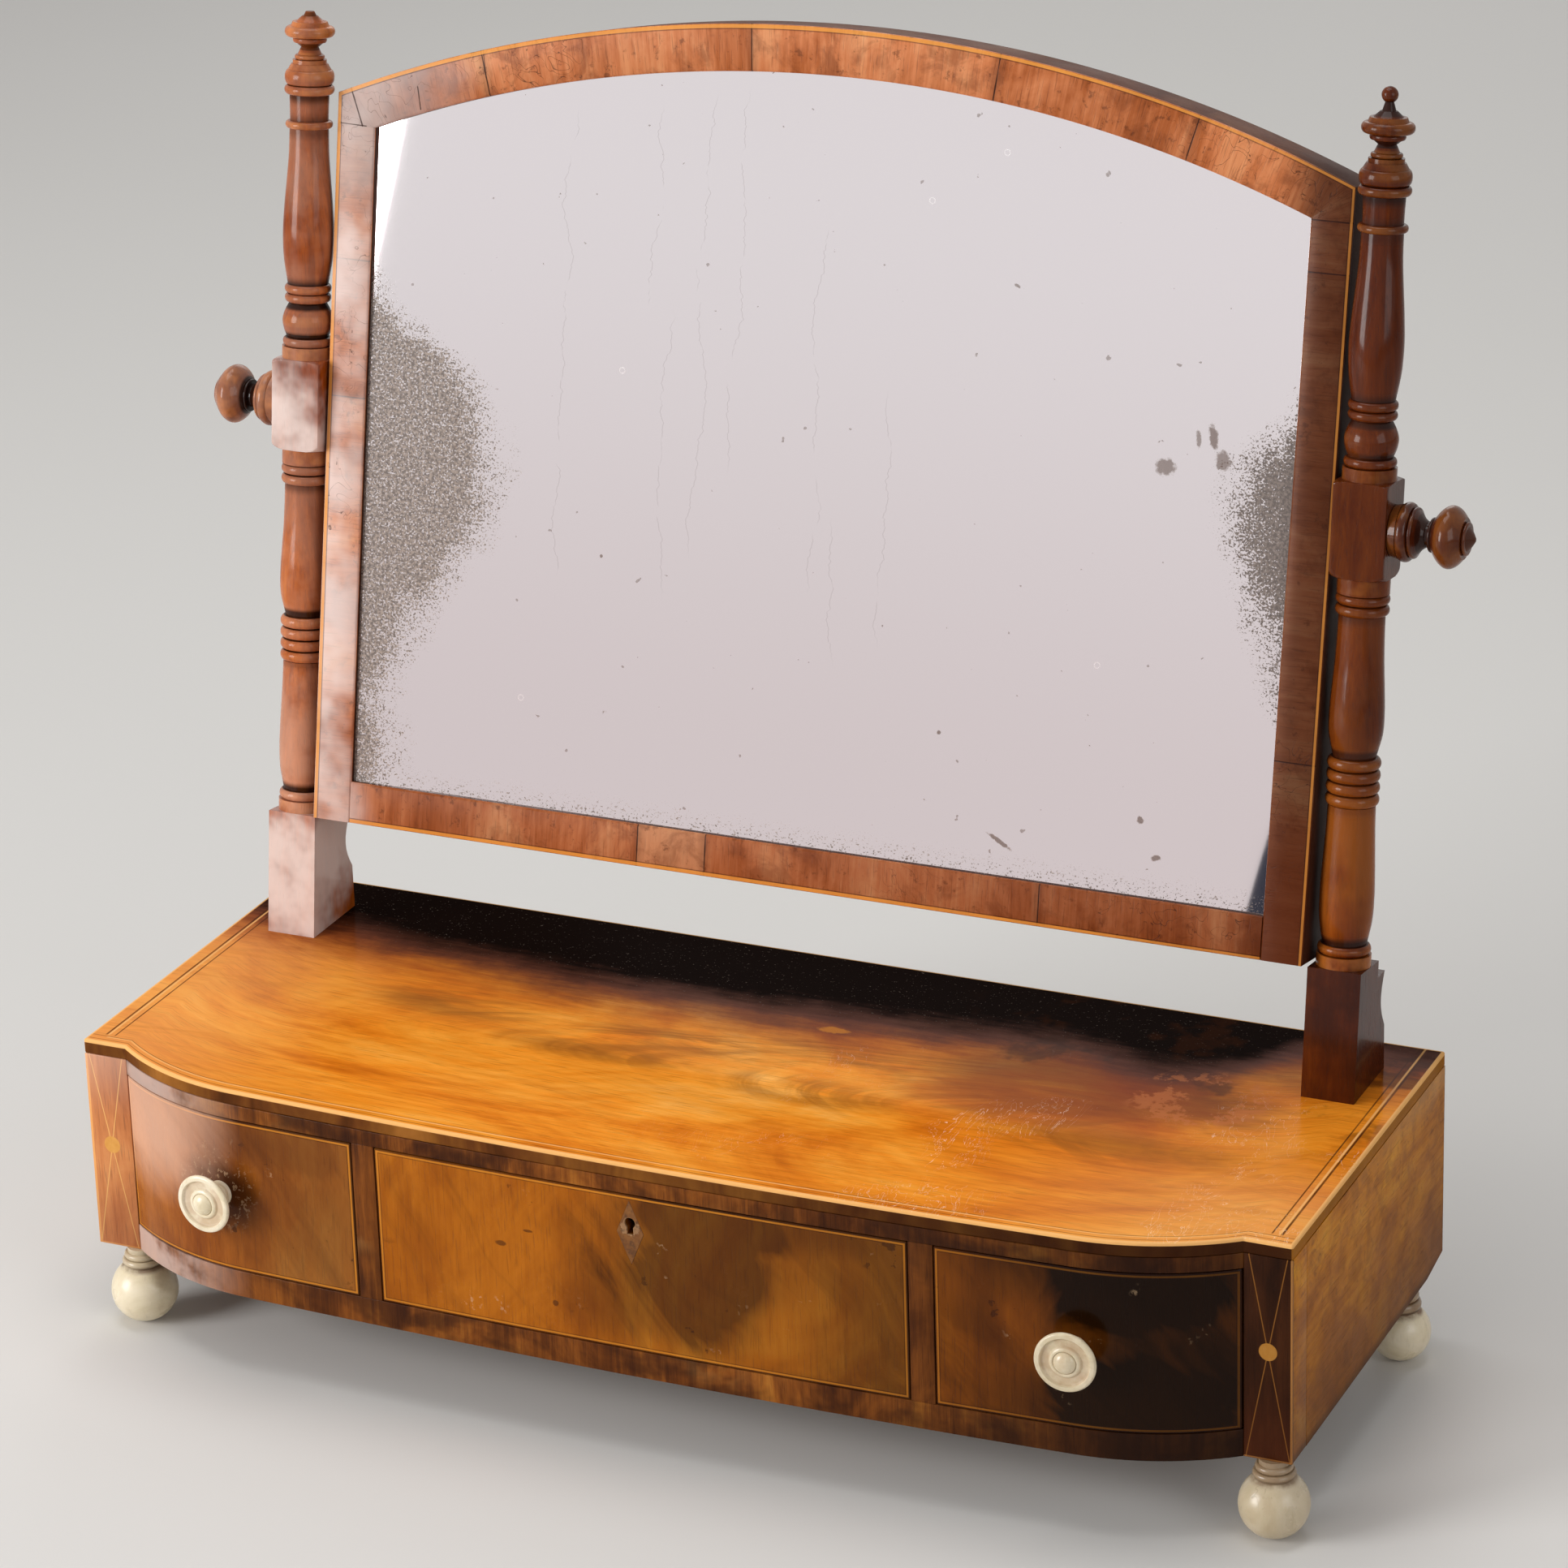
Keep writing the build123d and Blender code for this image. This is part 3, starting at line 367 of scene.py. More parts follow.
def boardGrid(x0, x1, front, back, low, high, rounding, stations=2, corner=3):
    # a rectangle with edges rounded in mm, carried along X: front and back are places on Y, or functions of x
    # the rounding closes in at both ends; "place" holds x, the distance behind the front, and z
    rounding = rounding * mm
    inner = np.linspace(x0 + rounding, x1 - rounding, stations)
    shoulders = rounding * (1 - np.cos(np.linspace(0, np.pi / 2, corner + 1)))
    x = np.concatenate([x0 + shoulders[:-1], inner, x1 - shoulders[:-1][::-1]])
    if callable(front) and x0 < -bowHalf < x1:
        x = np.sort(np.concatenate([x, [-bowHalf - 2e-6, -bowHalf + 1e-5, bowHalf - 1e-5, bowHalf + 2e-6]]))
    gap = np.clip(np.minimum(x - x0, x1 - x), 0, rounding)
    inset = rounding - np.sqrt(np.maximum(rounding**2 - (rounding - gap) ** 2, 0))
    radius = np.maximum(rounding - inset, rounding * 0.25)
    near = front(x) if callable(front) else np.full_like(x, front)
    far = back(x) if callable(back) else np.full_like(x, back)
    angle = np.linspace(0, np.pi / 2, corner + 1)
    turns = np.concatenate([angle + quarter * np.pi / 2 for quarter in range(4)])
    atBack = np.repeat([1, 0, 0, 1], corner + 1)
    atTop = np.repeat([1, 1, 0, 0], corner + 1)
    keep = inset + radius
    y = np.where(atBack, (far - keep)[:, None], (near + keep)[:, None]) + radius[:, None] * np.cos(turns)
    z = np.where(atTop, (high - keep)[:, None], (low + keep)[:, None]) + radius[:, None] * np.sin(turns)
    grid = np.stack([np.broadcast_to(x[:, None], y.shape), y, z], axis=-1)
    place = np.stack([grid[..., 0], y - near[:, None], z], axis=-1)
    return grid, {"place": place}


def smoothThrough(radii, count):
    # a curve through evenly spaced radii, each span a cubic with the slopes of its neighbours
    radii = np.asarray(radii, dtype=float)
    slopes = np.gradient(radii)
    place = np.linspace(0, len(radii) - 1, count)
    span = np.minimum(place.astype(int), len(radii) - 2)
    part = place - span
    a, b = radii[span], radii[span + 1]
    return (
        a * (2 * part**3 - 3 * part**2 + 1)
        + b * (3 * part**2 - 2 * part**3)
        + slopes[span] * (part**3 - 2 * part**2 + part)
        + slopes[span + 1] * (part**3 - part**2)
    )


def turnProfile(features, start, tip=0.0):
    # radius against length for a row of bands, beads and vases, in millimetres
    along, radius = [np.array([start])], [np.array([0.0])]
    here = start
    for kind, length, *radii in features:
        if kind == "band":
            step = np.linspace(0, 1, 3)
            line = radii[0] + (radii[-1] - radii[0]) * step
        elif kind == "bead":
            step = (1 - np.cos(np.linspace(0, np.pi, 13))) / 2
            root = max(radii[0], radii[1] - 0.45 * length)
            line = root + (radii[1] - root) * np.sqrt(np.clip(1 - (2 * step - 1) ** 2, 0, 1))
        else:
            step = np.linspace(0, 1, 6 * (len(radii) - 1) + 1)
            line = smoothThrough(radii, len(step))
        along.append(here + length * step)
        radius.append(line)
        here += length
    if tip:
        last = radius[-1][-1]
        centre = here + math.sqrt(max(tip**2 - last**2, 0.0))
        sweep = np.linspace(math.asin(min(last / tip, 1.0)), np.pi, 18)
        along.append(centre - tip * np.cos(sweep))
        radius.append(tip * np.sin(sweep))
        here = centre + tip
    along.append(np.array([here]))
    radius.append(np.array([0.0]))
    return np.concatenate(along), np.concatenate(radius)


def roundAxis(origin, axis, across, along, radius, angle):
    # points at a length along an axis and a radius out from it, in millimetres, to the scene's metres
    other = axis.cross(across)
    return (
        np.array(origin)
        + mm * along[:, None, None] * np.array(axis)
        + mm * (radius * np.cos(angle))[..., None] * np.array(across)
        + mm * (radius * np.sin(angle))[..., None] * np.array(other)
    )


def latheGrid(origin, axis, across, profile, sides=72, window=6.0):
    # a profile carried round an axis; "turn" holds the angle, the length and how far it stands out
    along, radius = profile
    axis, across = Vector(axis).normalized(), Vector(across).normalized()
    angle = np.linspace(0, 2 * np.pi, sides, endpoint=False)
    spread = np.interp(along[:, None] + np.linspace(-window, window, 13), along, radius).mean(axis=1)
    stand = (radius - spread)[:, None]
    turn = np.stack(np.broadcast_arrays(angle, along[:, None], stand), axis=-1)
    return roundAxis(origin, axis, across, along, radius[:, None], angle), {"turn": turn}


print("tools ready")


# Wood: a figure bent by its own noise, fine streaks along the grain, and dark pores
def stretched(along, ratio):
    return tuple(ratio if index == along else 1.0 for index in range(3))


def woodGrain(shader, place, along, look):
    figure = place.noise(look["scale"], 6.0, 0.58, look["curl"], stretched(along, look["long"]))
    streak = place.noise(300.0, 4.0, 0.65, 0.4, stretched(along, 0.05))
    field = figure * (1 - look["fibre"]) + streak * look["fibre"]
    colour = shader.ramp(field, look["stops"])
    pores = place.noise(1500.0, 1.0, 0.5, 0.0, stretched(along, 0.05)).over(0.64, 0.05)
    darker = shader.mix(0.8, colour, tint("1a0804"))
    colour = shader.mix(pores * look["pores"], colour, darker)
    return colour, field * 0.5 + streak * 0.5 - pores * 0.6


def woodShader(name, look, along, source="place"):
    shader = Shader(name)
    place = shader.own(source) if source else shader.place()
    shader.colour, height = woodGrain(shader, place, along, look)
    wearAndGlare = shader.place().noise(38.0, 4.0, 0.65)
    rough = look["rough"] + (wearAndGlare - 0.5) * look.get("roughVary", 0.25) + (0.5 - height) * 0.08
    shader.set(
        Specular_IOR_Level=look.get("sheen", 0.3),
        Coat_Weight=look.get("coat", 0.1),
        Coat_Roughness=look.get("coatRough", 0.1),
    )
    return shader, place, rough, height


def finishWood(shader, rough, height, depth=0.00006):
    return shader.set(Base_Color=shader.colour, Roughness=rough.most(0.08), Normal=shader.bump(height, depth))


# The case's top
topLook = {
    "scale": 9.0,
    "curl": 2.2,
    "long": 0.5,
    "fibre": 0.22,
    "pores": 0.25,
    "rough": 0.30,
    "sheen": 0.0,
    "coat": 0.0,
    "coatRough": 0.16,
    "stops": [(0.30, "ba5c0e"), (0.40, "d87818"), (0.48, "e88c24"), (0.56, "f09c34"), (0.70, "f6b258")],
    "smoke": "74481a",
    "dark": "120a07",
    "red": "84300c",
    "box": "f0b670",
    "line": "4a2410",
    "feathers": 66.0,
    # stringing, in mm: from the side edge, then from the front edge
    "sideDark": [(7.0, 8.0), (11.6, 12.3)],
    "sideLight": (8.2, 9.2),
    "frontDark": [(2.6, 3.1), (6.2, 6.7)],
    "frontLight": (5.2, 6.2),
    # the edge's own stringing: width on the top face and height on the edge, in mm
    "rim": 1.35,
    "stringHigh": 1.5,
}
# Where the dark back of the top begins, in mm across and behind the front
darkFront = [
    (-290, 150), (-208, 141), (-168, 138), (-102, 129), (-43, 128), (14, 130), (64, 134),
    (109, 140), (139, 142), (172, 128), (205, 140), (230, 170), (290, 178),
]
# Other patches on the top: across and behind the front, with their reach, in mm
topSpots = {
    "late": (160.0, 116.0, 74, 34),
    "ruddy": (158.0, 92.0, 78, 30),
    "flaked": (205.0, 118.0, 34, 30),
    "chip": (26.0, 128.0, 8, 3.4),
}
# Smoky parts of the figure, given the same way
smokyPlaces = [
    (-66, 72, 52, 12), (-30, 93, 56, 12), (38, 64, 44, 15), (36, 107, 34, 11),
    (84, 104, 40, 15), (128, 84, 52, 14), (186, 64, 56, 16), (-150, 92, 46, 14),
]


def topMaterial(look):
    shader, place, rough, height = woodShader("flameTop", look, 0)
    world = shader.place()
    across, deep, high = (world.part(index) for index in range(3))
    x = place.part(0) * 1000
    gap = place.part(1) * 1000
    back = (deep - faceY) * 1000
    side = halfWidth * 1000 - abs(x)
    # a figure that leans to the right, smoky in places, with feathers and wisps
    lean = shader.joined(across + deep * 0.35, deep * 1.6, 0.0)
    bent = shader.bent(lean, world.noise(7.0, 3.0, 0.55, 0.4, colour=True), (0.10, 0.075, 0.0))
    flame = bent.noise(15.0, 5.0, 0.64, 1.1, (0.42, 1.0, 1.0))
    spread = 0.0
    for spot in smokyPlaces:
        spread = (away(x, back, spot) + (flame - 0.5) * 2.4).rise(1.5, 0.0) + spread
    smoke = flame.rise(0.36, 0.60) * (spread.least(1.0) * 0.85 + 0.15)
    shader.lay(smoke * 0.62, look["smoke"])
    bowed = deep - faceY - look["feathers"] * mm  # the feathers run along parabolas that open to the right
    fan = shader.joined(across - bowed * bowed * 70.0, bowed * 0.5, 0.0)
    fanned = shader.bent(fan, world.noise(9.0, 2.0, 0.5, 0.3, colour=True), (0.06, 0.05, 0.0))
    feathers = fanned.noise(46.0, 4.0, 0.6, 0.2, (1.0, 0.5, 1.0)).rise(0.44, 0.62)
    shader.lay(feathers * (spread.least(1.0) * 0.46 + 0.10), "8a4e14")
    late = (away(x, back, topSpots["late"]) + (flame - 0.5) * 3.4).rise(1.5, 0.0)
    shader.lay(late * 0.72, "40240c")
    ruddy = (away(x, back, topSpots["ruddy"]) + (flame - 0.5) * 3.0).rise(1.5, 0.1)
    shader.lay(ruddy * 0.42, "9a4416")
    shader.lay(x.rise(120.0, 270.0) * back.rise(90.0, 30.0) * 0.25, "f4b480")
    # painted highlight: the top paler towards its left end
    shader.lay(x.rise(-170.0, -275.0) * 0.3, "f0b078")
    wisps = bent.noise(70.0, 4.0, 0.66, 0.3, (0.12, 1.0, 1.0)).rise(0.50, 0.70)
    shader.lay(wisps * 0.20, "a8560e")
    # the dark back, whose front is ragged and red
    edgeAt = shader.curve(x, darkFront)
    drawn = world.noise(110.0, 5.0, 0.7, 0.2, (0.16, 1.0, 1.0)) - 0.5
    ragged = back - edgeAt + (world.noise(26.0, 6.0, 0.68) - 0.5) * 26 + drawn * 30
    shader.lay(ragged.rise(-34.0, 0.0) * 0.72, look["red"])
    shader.lay(ragged.rise(-14.0, 10.0) * 0.88, "54281a")
    shade = (ragged - x.rise(-130.0, -70.0) * 4.0).rise(-2.0, 27.0)
    shader.lay(shade * 0.98, look["dark"])
    dusty = world.noise(900.0, 2.0).over(0.70, 0.03) * shade
    shader.lay(dusty * 0.35, "8c7c70")
    stain = world.noise(30.0, 4.0, 0.6).over(0.60, 0.05) * back.rise(80.0, 125.0) * x.rise(60.0, 120.0)
    shader.lay(stain * 0.6, "3a1c0a")
    # stringing on the top face
    flat = high.over(caseTop - 0.0004, 0.0003)
    wearing = 0.5 + world.noise(60.0, 3.0) * 0.6
    sideWays = side.under(14.0, 0.2) * gap.over(8.0, 1.0)
    border = sum(side.within(*line, 0.2) for line in look["sideDark"])
    shader.lay(border * sideWays * wearing * flat, look["line"])
    lightLine = side.within(*look["sideLight"], 0.2) * sideWays
    shader.lay(lightLine * wearing * flat * (1 - shade * 0.6), look["box"])
    frontLines = sum(gap.within(*line, 0.12) for line in look["frontDark"])
    shader.lay(frontLines * wearing * flat * 0.75, look["line"])
    frontLight = gap.within(*look["frontLight"], 0.12) * side.over(9.0, 0.3)
    shader.lay(frontLight * wearing * flat * 0.8, look["box"])
    # the boxwood edge and the banding below it
    edge = gap.least(side).least((caseBack - deep) * 1000)
    shader.lay(edge.under(look["rim"], 0.15) * (0.92 - shade * 0.2), look["box"])
    band = world.noise(30.0, 4.0, 0.6, 0.5, (1.0, 1.0, 0.3))
    bandColour = shader.ramp(band, [(0.30, "321808"), (0.46, "623616"), (0.60, "82501f"), (0.74, "a0662c")])
    onSide = abs(across).over(halfWidth - 0.0006, 0.0003)
    bandColour = shader.mix(onSide * 0.6, bandColour, tint("b07226"))
    # painted shade: the band darkened towards the right
    bandColour = shader.mix(across.rise(-0.05, 0.2) * (1 - onSide) * 0.8, bandColour, tint("2a1206"))
    below = ((caseTop - high) * 1000).over(look["stringHigh"], 0.15)
    shader.lay(below * edge.under(1.0, 0.3), bandColour)
    # wear
    scratchField = world.noise(70.0, 3.0, 0.55, 3.2, (1.0, 0.35, 1.0)) - 0.5
    scratched = world.noise(14.0, 2.0).rise(0.50, 0.60) * x.rise(-40.0, 120.0) * back.rise(150.0, 100.0)
    scratch = abs(scratchField).under(0.0035, 0.0030) * scratched * flat
    shader.lay(scratch * 0.60, "ffe0c0")
    flakeSpot = world.noise(55.0, 5.0, 0.7).over(0.54, 0.03) * away(x, back, topSpots["flaked"]).rise(1.2, 0.5)
    shader.lay(flakeSpot * 0.5, "c4703a")
    chip = (away(x, back, topSpots["chip"]) + (world.noise(300.0, 3.0) - 0.5) * 1.6).under(0.8, 0.3)
    shader.lay(chip * 0.75, "c87818")
    rough = rough + shade * 0.25 + scratch * 0.25
    shader.set(Coat_Weight=(1.0 - shade) * 0.09 + 0.01)
    return finishWood(shader, rough, height - scratch * 0.6)


def frontCurve(x):
    return faceY + bowDepth(x)


def backCurve(depth):
    return lambda x: frontCurve(x) + depth


# Boards: rounding of the edges in mm, stations along the board, and steps round each edge
boards = {"top": (0.9, 150, 4), "rail": (0.4, 120), "pilaster": (0.4,), "divider": (0.3,), "drawer": (0.5, 90)}
lowest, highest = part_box("top_board")
topGrid = boardGrid(lowest.x, highest.x, frontCurve, caseBack, lowest.z, highest.z, *boards["top"])
topNodes = ["top_board", "top_stringing"]
finishPiece("caseTop", [topGrid], "case", topNodes, topMaterial(topLook), sharp=40.0)
print("case top made")

# Rails, pilasters and dividers of the front, in dark crossbanding
bandLook = {
    "scale": 26.0,
    "curl": 1.1,
    "long": 0.6,
    "fibre": 0.32,
    "pores": 0.35,
    "rough": 0.34,
    "sheen": 0.06,
    "coat": 0.05,
    "stops": [(0.30, "2e1406"), (0.43, "5a2e0e"), (0.54, "824818"), (0.64, "9e6022"), (0.76, "b47832")],
    "box": "e8a25c",
    "fade": 0.66,
}


def railMaterial(name, look):
    shader, _, rough, height = woodShader(name, look, 2)
    world = shader.place()
    x = world.part(0)
    blotch = world.noise(17.0, 4.0, 0.62, 0.4, (1.0, 1.0, 1.4)).rise(0.44, 0.62)
    shader.lay(blotch * look["patches"], "2a1208")
    # painted shade: the veneer darkened towards the right
    shader.lay(x.rise(0.04, 0.25) * look["fade"], "1c0c05")
    pale = world.noise(9.0, 3.0, 0.6).rise(0.56, 0.66) * world.noise(60.0, 3.0).rise(0.40, 0.62)
    shader.lay(pale * 0.22 * x.rise(0.10, 0.0), "b98a50")
    # painted glare: a pale pinkish wash at the left end
    wearAndGlare = x.rise(-0.19, -0.25) * world.noise(34.0, 4.0, 0.62).rise(0.30, 0.54)
    shader.lay(wearAndGlare * 0.72, "ccb0a4")
    return finishWood(shader, rough, height)


railMaterials = {
    "top_rail": railMaterial("topRailVeneer", {**bandLook, "patches": 0.75}),
    "bottom_rail": railMaterial("bottomRailVeneer", {**bandLook, "fade": 0.9, "patches": 0.7}),
}
# The bolt's mortise, in mm: how far the bolt is thrown, and the room round it
boltMortise = {"throw": 4.5, "clearance": 0.3}
railDepth = 20 * mm
for node, name in (("top_rail", "frontTopRail"), ("bottom_rail", "frontBottomRail")):
    lowest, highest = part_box(node)
    grid = boardGrid(lowest.x, highest.x, frontCurve, backCurve(railDepth), lowest.z, highest.z, *boards["rail"])
    mesh = gridMesh(name, [grid])
    if node == "top_rail":  # cut for the bolt of the lock below it
        boltLow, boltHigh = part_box("lock_bolt")
        room = boltMortise["clearance"] * mm
        top = boltHigh.z + boltMortise["throw"] * mm + room
        corners = rectangle(boltLow.x - room, boltHigh.x + room, boltLow.z, top)
        mesh = cutFrom(name, mesh, [prism("boltCutter", corners, boltLow.y - room, boltHigh.y + room)])
    finishPiece(name, mesh, "case", node, railMaterials[node], sharp=40.0)


# The sides' veneer, which the pilasters' outer faces share
sideLook = {
    "scale": 24.0,
    "curl": 1.0,
    "long": 0.7,
    "fibre": 0.25,
    "pores": 0.4,
    "rough": 0.38,
    "sheen": 0.04,
    "coat": 0.03,
    "stops": [(0.28, "824608"), (0.42, "a4600c"), (0.52, "be7610"), (0.62, "cc881a"), (0.76, "d89a2a")],
}


def laySide(shader, place):
    # mottled veneer, rubbed pale at the top towards the back and darker towards its foot
    up = (place.part(2) - underside) * 1000
    back = (place.part(1) - faceY) * 1000
    mottle = place.noise(75.0, 5.0, 0.66, 0.6).rise(0.44, 0.64)
    shader.lay(mottle * 0.45, "7e4814")
    specks = place.noise(260.0, 3.0, 0.6).rise(0.58, 0.70)
    shader.lay(specks * 0.35, "5a300e")
    rubbedAndPaintedLight = (up + (place.noise(30.0, 4.0) - 0.5) * 30).rise(82, 97) * back.rise(70, 190)
    shader.lay(rubbedAndPaintedLight * 0.35, "bc9668")
    low = up + (place.noise(22.0, 4.0, 0.6) - 0.5) * 34
    shader.lay(up.rise(92.0, 40.0) * 0.30, "6e3e10")
    shader.lay(low.rise(50, 4) * 0.55, "56301a")
    shader.lay(up.under(3.0, 2.5) * 0.6, "240f08")
    shader.lay(place.part(1).over(caseBack - 0.0004, 0.0002) * 0.85, "4a3018")


def sideMaterial(look):
    shader, place, rough, height = woodShader("sideVeneer", look, 1, None)
    laySide(shader, place)
    return finishWood(shader, rough, height)


# Pilasters: where their lines run, in mm
pilasterLines = {"middle": 51.5, "halfAcross": 9.6, "halfUp": 50.0, "cross": 0.24, "disc": 4.1, "foot": 50.5}
# Lit and shaded copies of one veneer: the left one's lighter stops and lines are painted light, the right one's dark
# stops, dim lines and weak edging painted shade
pilasterLooks = {
    "left": {
        **bandLook,
        "stops": [(0.30, "86441e"), (0.48, "b26634"), (0.60, "ca7e46"), (0.74, "d8945a")],
        "sheen": 0.3,
        "cross": "eab46a",
        "edging": 0.95,
    },
    "right": {
        **bandLook,
        "stops": [(0.30, "180a04"), (0.48, "301607"), (0.60, "40200c"), (0.74, "522c12")],
        "sheen": 0.05,
        "cross": "8c5a26",
        "edging": 0.45,
    },
}


def pilasterMaterial(name, look, lines, middle):
    # four fine lines cross at a disc; boxwood runs down the outer corner and along the foot
    shader, _, rough, height = woodShader(name, look, 2)
    world = shader.place()
    across = (abs(world.part(0)) - middle.x) * 1000
    rise = (world.part(2) - middle.z) * 1000
    cross = abs(abs(across) - abs(rise) * (lines["halfAcross"] / lines["halfUp"]))
    facing = (world.part(1) - faceY).under(0.0006, 0.0001)
    thin = cross.under(lines["cross"], 0.10) * facing
    wander = (world.noise(90.0, 2.0) - 0.5) * 0.5
    disc = ((across * across + rise * rise).math("SQRT") + wander).under(lines["disc"], 0.15) * facing
    shader.lay(thin * 0.75, look["cross"])
    dot = shader.mix(world.noise(300.0, 3.0), tint("cf8a30"), tint("e6ab58"))
    shader.lay(disc, shader.mix(1.0 - look["edging"], dot, tint("6a3c10")))
    depth = (world.part(1) - faceY) * 1000
    outer = (halfWidth - abs(world.part(0))) * 1000
    stringWide = 0.4 + look["edging"]
    onFace = outer.under(stringWide, 0.12) * depth.under(stringWide, 0.12)
    foot = rise.under(-lines["foot"], 0.12) * facing
    shader.lay(onFace.most(foot * 0.7) * look["edging"], look["box"])
    shader.lay(rise.rise(-5.0, -48.0) * facing * 0.3, "5a2810")
    # painted glare on the upper half of the left pilaster
    shader.lay(rise.rise(10.0, 50.0) * world.part(0).rise(0.0, -0.2) * facing * 0.34, "dcb8a4")
    beyond = depth.over(1.3, 0.12) * outer.under(0.6, 0.2)
    face = shader.colour
    shader.colour = woodGrain(shader, world, 1, sideLook)[0]
    laySide(shader, world)
    shader.colour = shader.mix(beyond, face, shader.colour)
    return finishWood(shader, rough, height)


middle = (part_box("right_pilaster")[0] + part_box("right_pilaster")[1]) / 2
middle.z = underside + pilasterLines["middle"] * mm
for hand, look in pilasterLooks.items():
    lowest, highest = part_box(f"{hand}_pilaster")
    if hand == "left":
        lowest.x = -halfWidth
    else:
        highest.x = halfWidth
    grid = boardGrid(lowest.x, highest.x, lowest.y, highest.y, lowest.z, highest.z, *boards["pilaster"])
    stands = [f"{hand}_pilaster"] + (["corner_stringing"] if hand == "right" else [])
    veneer = pilasterMaterial(f"{hand}PilasterVeneer", look, pilasterLines, middle)
    finishPiece(f"{hand}Pilaster", [grid], "case", stands, veneer, sharp=40.0)

dividerVeneer = railMaterial("dividerVeneer", {**bandLook, "scale": 22.0, "patches": 0.4})
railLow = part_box("top_rail")[0].z
for hand in ("left", "right"):
    lowest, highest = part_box(f"{hand}_divider")
    grids = [
        boardGrid(lowest.x, highest.x, frontCurve, backCurve(railDepth), lowest.z, railLow, *boards["divider"]),
        boardGrid(lowest.x, highest.x, backCurve(railDepth), highest.y, lowest.z, highest.z, *boards["divider"]),
    ]
    finishPiece(f"{hand}Divider", grids, "case", f"{hand}_divider", dividerVeneer, sharp=40.0)
setMaterial(["left_side", "right_side"], sideMaterial(sideLook))
print("case front and sides made")

# Drawer fronts, each with its own veneer and a boxwood line round it
drawerLooks = {
    "left": {
        "stops": [(0.30, "6c300a"), (0.42, "8c4a14"), (0.52, "a65e1e"), (0.62, "b6702a"), (0.76, "c4843a")],
        "smoke": "3a1a0a",
        "smoky": 0.62,
        "places": [(-160, 45, 50, 46), (-190, 84, 40, 14)],
        "haze": (-258.0, 86.0, 56, 48),
    },
    "centre": {
        "stops": [(0.28, "803e08"), (0.42, "9c540c"), (0.52, "b26614"), (0.62, "c2781e"), (0.76, "ce8a2e")],
        "smoke": "301406",
        "smoky": 0.80,
        "shaded": 0.72,
        "places": [(26, 66, 44, 22), (4, 36, 34, 20), (60, 84, 52, 10), (86, 6, 46, 8), (36, 46, 22, 30)],
        "dents": [(-65.9, 53.7, 3.2, 1.5), (-40.1, 29.1, 1.6, 1.6), (-52.0, 62.0, 2.6, 0.7)],
    },
    # the right drawer's dark stops and heavy smoke are its smoky figure and painted shade
    "right": {
        "stops": [(0.30, "461c06"), (0.44, "64320a"), (0.56, "7a400c"), (0.66, "8a4c10"), (0.78, "985a16")],
        "smoke": "0e0501",
        "smoky": 0.96,
        "places": [(252, 50, 50, 74), (206, 92, 84, 20), (160, 4, 30, 10), (206, 20, 40, 20)],
    },
}
drawerShape = {
    "scale": 11.0,
    "curl": 1.2,
    "long": 0.8,
    "fibre": 0.16,
    "pores": 0.25,
    "rough": 0.24,
    "sheen": 0.05,
    "coat": 0.1,
    "coatRough": 0.08,
    "string": 1.7,
    "box": "c67c24",
}


